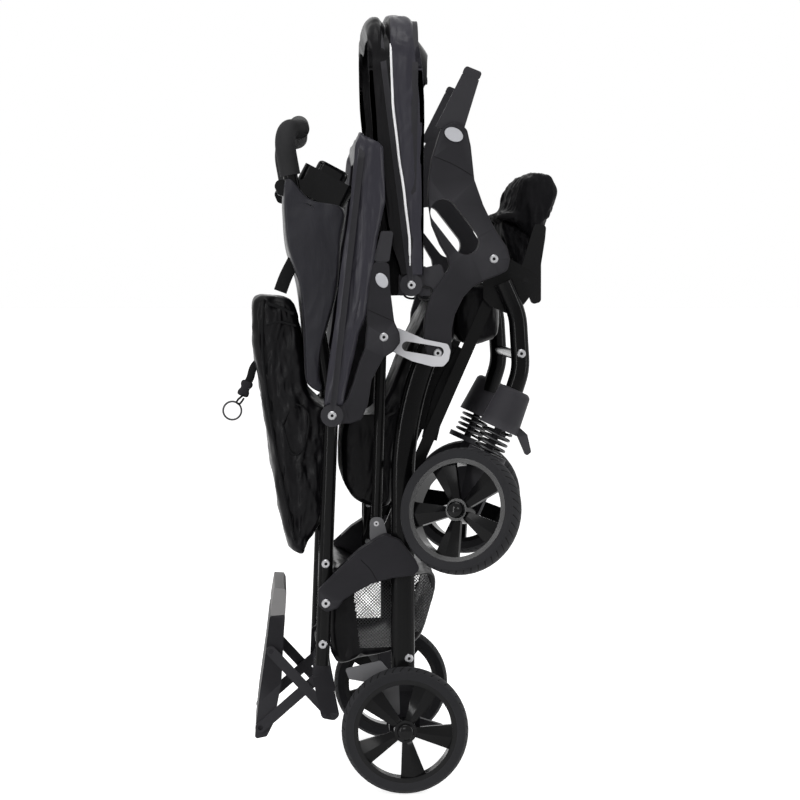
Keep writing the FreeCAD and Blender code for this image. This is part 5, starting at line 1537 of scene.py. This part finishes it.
@dataclass(frozen=True)
class HubDome:
    """The polished dome on the middle of each wheel's outer face."""

    radius: float = 12.5
    rise: float = 6.0
    rings: int = 8
    sides: int = 40

    def build(self, paints: Paints) -> None:
        """Make the four domes.

        Args:
            paints: The built finishes.
        """
        for kind, label in WHEELS:
            dome = self.dome(f"{kind}_rim_{label}", f"{kind}_wheel_{label}")
            finish_piece(dome, paints.get(GLOSS_MOULDING), f"{kind}_wheel_{label}")

    def dome(self, rim: str, wheel: str) -> bpy.types.Object:
        """Make one dome on its hub.

        Args:
            rim: The rim's node.
            wheel: The wheel's body.

        Returns:
            The dome.
        """
        middle, out = wheel_axle(wheel)
        first = out.orthogonal().normalized()
        second = out.cross(first)
        hit = surface_tree(rim).ray_cast(middle + out * 0.08, -out)[0] or middle
        verts = []
        for ring in range(self.rings + 1):
            angle = math.pi / 2 * ring / self.rings * 0.97
            for step in range(self.sides):
                turn = 2 * math.pi * step / self.sides
                reach = self.radius * math.cos(angle) * MM
                verts.append(hit + first * reach * math.cos(turn) + second * reach * math.sin(turn)
                             + out * (self.rise * math.sin(angle) - 1.0) * MM)
        ends = [tuple(range(self.sides)), tuple(range(self.rings * self.sides, (self.rings + 1) * self.sides))]
        return new_mesh(rim.replace("rim", "hub_dome"), verts, bands(self.rings + 1, self.sides) + ends)


@dataclass(frozen=True)
class TreadGrooveShade:
    """Painted shade of the tread grooves: slanted near-black strips laid on each tyre's own surface."""

    count: int = 48
    width: float = 1.7
    rise: float = 0.12
    sink: float = 0.4
    slant: float = 0.09
    reach: float = 0.86
    half_steps: int = 5
    clearance: float = 0.03
    least_radius: float = 0.8

    def build(self, paints: Paints) -> None:
        """Paint the groove shade on the four tyres.

        Args:
            paints: The built finishes.
        """
        for kind, label in WHEELS:
            grooves = self.around(f"{kind}_tyre_{label}", f"{kind}_wheel_{label}")
            # The strips are near-black: painted shade in the tread grooves.
            finish_piece(grooves, paints.get(SEAM_AND_RECESS_SHADE), f"{kind}_wheel_{label}")

    def around(self, tyre: str, wheel: str) -> bpy.types.Object:
        """Make one tyre's painted groove shade.

        Args:
            tyre: The tyre's node.
            wheel: The wheel's body.

        Returns:
            The grooves as one piece.
        """
        middle, axle = wheel_axle(wheel)
        first = axle.orthogonal().normalized()
        second = axle.cross(first)
        tree, arms = surface_tree(tyre), [vertex.co - middle for vertex in frame["nodes"][tyre].data.vertices]
        half = max(abs(arm.dot(axle)) for arm in arms)
        radius = max((arm - axle * arm.dot(axle)).length for arm in arms)
        verts, faces = [], []
        for index in range(self.count):
            row = []
            for step in range(2 * self.half_steps + 1):
                share = -1 + step / self.half_steps
                angle = 2 * math.pi * index / self.count + self.slant * abs(share)
                out = first * math.cos(angle) + second * math.sin(angle)
                start = middle + axle * share * half * self.reach + out * (radius + self.clearance)
                hit, normal = tree.ray_cast(start, -out)[:2]
                if hit is not None and (hit - middle).length > radius * self.least_radius:
                    row.append((hit, normal, axle.cross(out) * self.width / 2 * MM))
            self.groove(row, verts, faces)
        return new_mesh(tyre.replace("tyre", "tread"), verts, faces)

    def groove(self, row: Sequence[tuple[Vector, Vector, Vector]], verts: list[Vector],
               faces: list[tuple[int, ...]]) -> None:
        """Add one closed strip of painted groove shade.

        Args:
            row: The places, their normals and half widths.
            verts: The piece's places so far.
            faces: Its faces so far.
        """
        start = len(verts)
        for hit, normal, half in row:
            top, foot = normal * self.rise * MM, normal * self.sink * MM
            verts.extend((hit - half + top, hit + half + top, hit + half - foot, hit - half - foot))
        faces.extend(bands(len(row), 4, start))
        if len(row) > 1:
            end = start + (len(row) - 1) * 4
            faces.append((start, start + 1, start + 2, start + 3))
            faces.append((end + 3, end + 2, end + 1, end))


@dataclass(frozen=True)
class DriveRecessShade:
    """Painted shade of the six-sided drive in the head of each screw and rivet: a near-black hexagon on the head."""

    share: float = 0.4
    least: float = 2.0
    rise: float = 0.15
    sink: float = 0.5
    turn: float = 0.3
    out_of_round: float = 0.15
    bare: tuple[str, ...] = ("tether_ring",)

    def build(self, paints: Paints) -> None:
        """Paint the drive's shade on every steel head, with one piece for each body.

        Args:
            paints: The built finishes.
        """
        for body, names in frame["record"]["behaviour"]["bodies"].items():
            verts: list[Vector] = []
            faces: list[tuple[int, ...]] = []
            for name in (name for name in names if name not in self.bare):
                for low, high in self.heads(frame["nodes"][name].data):
                    self.drive(low, high, verts, faces)
            if verts:
                # A near-black hexagon: painted shade in each drive recess.
                finish_piece(new_mesh(f"{body}_drive_shade", verts, faces), paints.get(SEAM_AND_RECESS_SHADE), body)

    @staticmethod
    def root(owner: dict[Place, Place], key: Place) -> Place:
        """Follow a place to the one that stands for its part.

        Args:
            owner: The place that each place points to.
            key: The place.

        Returns:
            The place that stands for the part.
        """
        while owner[key] != key:
            owner[key] = owner[owner[key]]
            key = owner[key]
        return key

    def heads(self, mesh: bpy.types.Mesh) -> list[tuple[Vector, Vector]]:
        """Find the round steel parts of a node that lie along Y.

        Args:
            mesh: The node's mesh.

        Returns:
            Each part's lowest and highest corners.
        """
        steel = [index for index, given in enumerate(mesh.materials) if given.name == BRIGHT_STEEL.name]
        owner: dict[Place, Place] = {}
        for polygon in mesh.polygons:
            if polygon.material_index in steel:
                keys = [tuple(round(c, 5) for c in mesh.vertices[index].co) for index in polygon.vertices]
                for key in keys:
                    owner.setdefault(key, key)
                    owner[self.root(owner, key)] = self.root(owner, keys[0])
        parts: dict[Place, list[Place]] = {}
        for key in owner:
            parts.setdefault(self.root(owner, key), []).append(key)
        found = []
        for keys in parts.values():
            low = Vector([min(key[axis] for key in keys) for axis in range(3)])
            high = Vector([max(key[axis] for key in keys) for axis in range(3)])
            size = high - low
            if abs(size.x - size.z) < self.out_of_round * max(size.x, size.z) and size.x > 2 * self.least * MM:
                found.append((low, high))
        return found

    def drive(self, low: Vector, high: Vector, verts: list[Vector], faces: list[tuple[int, ...]]) -> None:
        """Add the painted drive shade on the outer end of one head.

        Args:
            low: The head's lowest corner.
            high: Its highest corner.
            verts: The piece's places so far.
            faces: Its faces so far.
        """
        middle = (low + high) / 2
        side = 1 if middle.y > OFFSET.y else -1
        plane = high.y if side > 0 else low.y
        radius = (high.x - low.x) / 2 * self.share
        start = len(verts)
        for depth in (self.rise, -self.sink):
            for step in range(DRIVE_SIDES):
                angle = math.pi / 3 * step + self.turn
                verts.append(Vector((middle.x + radius * math.cos(angle), plane + side * depth * MM,
                                     middle.z + radius * math.sin(angle))))
        foot = start + DRIVE_SIDES
        faces.append(tuple(range(start, foot)))
        faces.append(tuple(range(foot + DRIVE_SIDES - 1, foot - 1, -1)))
        faces.extend(bands(2, DRIVE_SIDES, start))


@dataclass
class Tether:
    """The short strap at the rear bag, with its side squeeze buckle and split ring."""

    plane: float = -140.0
    width: float = 12.0
    thickness: float = 2.4
    ring_place: Point = (-261.0, 575.0)
    ring_radius: float = 14.0
    ring_wire: float = 1.5
    ring_steps: int = 100
    ring_start: float = 20.0
    ring_step: float = 3.8

    def build(self, paints: Paints) -> None:
        """Make the strap, the buckle and the loop.

        Args:
            paints: The built finishes.
        """
        down = flowing([spot(-222, self.plane, 650), spot(-229, self.plane, 640), spot(-233, self.plane, 626),
                        spot(-237, self.plane, 618)], 6)
        strap = face_ribbon("tether_strap", down, self.width * MM, self.thickness * MM)
        finish_piece(strap, paints.get(WEBBING), "tether")
        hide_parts("tether")
        buckle = self.buckle()
        finish_piece(buckle, paints.get(DARK_MOULDING), "tether")
        loop = flowing([spot(-244, self.plane, 599), spot(-252, self.plane, 592), spot(-254, self.plane, 587),
                        spot(-249, self.plane, 586), spot(-243, self.plane, 594)], 6)
        ear = ribbon("tether_loop", loop, Vector((0, 1, 0)), self.width * MM, self.thickness * MM)
        finish_piece(ear, paints.get(WEBBING), "tether")
        self.ring(paints)

    def ring(self, paints: Paints) -> None:
        """Make the dark split ring.

        Args:
            paints: The built finishes.
        """
        path = []
        for step in range(self.ring_steps):
            angle = math.radians(self.ring_start + self.ring_step * step)
            lean = self.ring_wire * 0.6 * (step / (self.ring_steps - 1) - 0.5)
            path.append(spot(self.ring_place[0] + self.ring_radius * math.cos(angle), self.plane + lean,
                             self.ring_place[1] + self.ring_radius * math.sin(angle)))
        ring = tube("tether_split_ring", path, self.ring_wire * MM, 10)
        finish_piece(ring, paints.get(SPRING_STEEL), "tether_ring")
        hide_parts("tether_ring")

    def buckle(self) -> bpy.types.Object:
        """Make the buckle as a rounded body with a waist and two prongs.

        Returns:
            The buckle.
        """
        top, foot = Vector((-236.5, 0, 621)), Vector((-246, 0, 597))
        ahead = (foot - top).normalized()
        out = Vector((0, 1, 0))
        across = ahead.cross(out)
        length = (foot - top).length
        widths = [(0.0, 7.5), (0.12, 9.5), (0.3, 9.8), (0.42, 7.2), (0.55, 6.8), (0.68, 9.2), (0.88, 9.4), (1.0, 7.8)]
        verts = []
        for share, half in widths:
            centre = top + ahead * (length * share)
            for a, b in ((-1, -0.45), (-0.6, -1), (0.6, -1), (1, -0.45), (1, 0.45), (0.6, 1), (-0.6, 1), (-1, 0.45)):
                p = centre + across * (half * a) + out * (3.6 * b)
                verts.append(spot(p.x, self.plane + p.y, p.z))
        last = (len(widths) - 1) * STRAP_SIDES
        ends = [tuple(range(STRAP_SIDES - 1, -1, -1)), tuple(range(last, last + STRAP_SIDES))]
        return rounded(new_mesh("tether_buckle", verts, bands(len(widths), STRAP_SIDES) + ends), 2)


@dataclass
class Studio:
    """The floor, the lamps, the white surround and the camera."""

    camera_place: Place = (-196.65, -4247.0, 768.1)
    yaw: float = 2.706
    pitch: float = 2.470
    lens: float = 119.97
    surround_light: float = 0.35
    floor_glow: float = 0.78
    floor_reach: float = 80.0
    aim_height: float = 0.6
    sensor: float = 36.0

    def build(self, paints: Paints) -> None:
        """Set the studio up.

        Args:
            paints: The built finishes.
        """
        self.floor()
        self.surround()
        self.lamps()
        self.camera()
        LOG.info("studio ready with %d finishes", len(paints.made))

    def floor(self) -> None:
        """Lay a plain pale floor that is white to the camera and keeps the shadow."""
        mesh = bpy.data.meshes.new("floor")
        reach = self.floor_reach
        mesh.from_pydata([(-reach, -reach, 0), (reach, -reach, 0), (reach, reach, 0), (-reach, reach, 0)], [],
                         [(0, 1, 2, 3)])
        floor = placed("floor", mesh)
        pale = bpy.data.materials.new("pale_floor")
        pale.use_nodes = True
        wire = Wiring(pale.node_tree)
        shader = pale.node_tree.nodes["Principled BSDF"]
        feed(shader, {"Base Color": (0.86, 0.86, 0.86, 1), "Roughness": 0.7, "Specular IOR Level": 0.2,
                      "Emission Color": (1, 1, 1, 1)})
        path = wire.node("ShaderNodeLightPath")
        seen = wire.math("MAXIMUM", path.outputs["Is Camera Ray"], path.outputs["Is Glossy Ray"])
        wire.join(wire.math("MULTIPLY", seen, self.floor_glow), shader.inputs["Emission Strength"])
        mesh.materials.append(pale)

    def surround(self) -> None:
        """Make the world white where it is seen, and softer as a light."""
        world = bpy.data.worlds.new("studio")
        bpy.context.scene.world = world
        world.use_nodes = True
        wire = Wiring(world.node_tree)
        back = world.node_tree.nodes["Background"]
        back.inputs["Color"].default_value = (1, 1, 1, 1)
        path = wire.node("ShaderNodeLightPath")
        seen = wire.math("MAXIMUM", path.outputs["Is Camera Ray"], path.outputs["Is Glossy Ray"])
        seen = wire.math("MAXIMUM", seen, path.outputs["Is Transmission Ray"])
        level = wire.math("MULTIPLY_ADD", seen, 1.0 - self.surround_light)
        level.node.inputs[2].default_value = self.surround_light
        wire.join(level, back.inputs["Strength"])

    def lamps(self) -> None:
        """Hang soft lamps round the stroller: a tall one on each side, one above and one behind the camera."""
        for name, place, power, size in (
                ("left_strip", (-2.6, -2.4, 1.3), 40.0, (0.28, 2.3)),
                ("right_strip", (3.1, -1.0, 1.2), 32.0, (0.28, 2.3)),
                ("top", (-0.2, -0.6, 3.3), 34.0, (2.0, 1.2)), ("front", (-0.9, -4.6, 2.4), 38.0, (1.6, 1.0)),
                ("back", (0.6, 3.0, 1.8), 7.0, (1.6, 1.6))):
            lamp = bpy.data.lights.new(name, "AREA")
            lamp.energy = power
            lamp.shape = "RECTANGLE"
            lamp.size, lamp.size_y = size
            holder = placed(name, lamp)
            holder.location = place
            holder.rotation_euler = (Vector((0, 0, self.aim_height)) - Vector(place)).to_track_quat("-Z", "Y").to_euler()

    def camera(self) -> None:
        """Set the camera where the photograph was taken from."""
        data = bpy.data.cameras.new("camera")
        data.lens = self.lens
        data.sensor_width = self.sensor
        holder = placed("camera", data)
        holder.location = spot(*self.camera_place)
        holder.rotation_euler = Euler((math.radians(90 - self.pitch), 0, -math.radians(self.yaw)))
        bpy.context.scene.camera = holder


def main() -> None:
    """Build the stroller's looks, then its studio."""
    logging.basicConfig(level=logging.INFO, format="%(name)s: %(message)s")
    paints = Paints()
    Dressing().build(paints)
    for canopy in (FRONT_CANOPY, REAR_CANOPY):
        canopy.build(paints)
    FrontVisor().build(paints)
    for bag in (HANDLE_POUCH, REAR_BAG, LEG_PAD, LEG_APRON, BASKET, FRONT_SEAT, SEAT_BACK):
        bag.build(paints)
    for detail in (*STRIPS, *STUDS, HubDome(), TreadGrooveShade(), DriveRecessShade()):
        detail.build(paints)
    Tether().build(paints)
    Studio().build(paints)
    bpy.context.scene.view_settings.view_transform = "Standard"


if __name__ == "__main__":
    main()
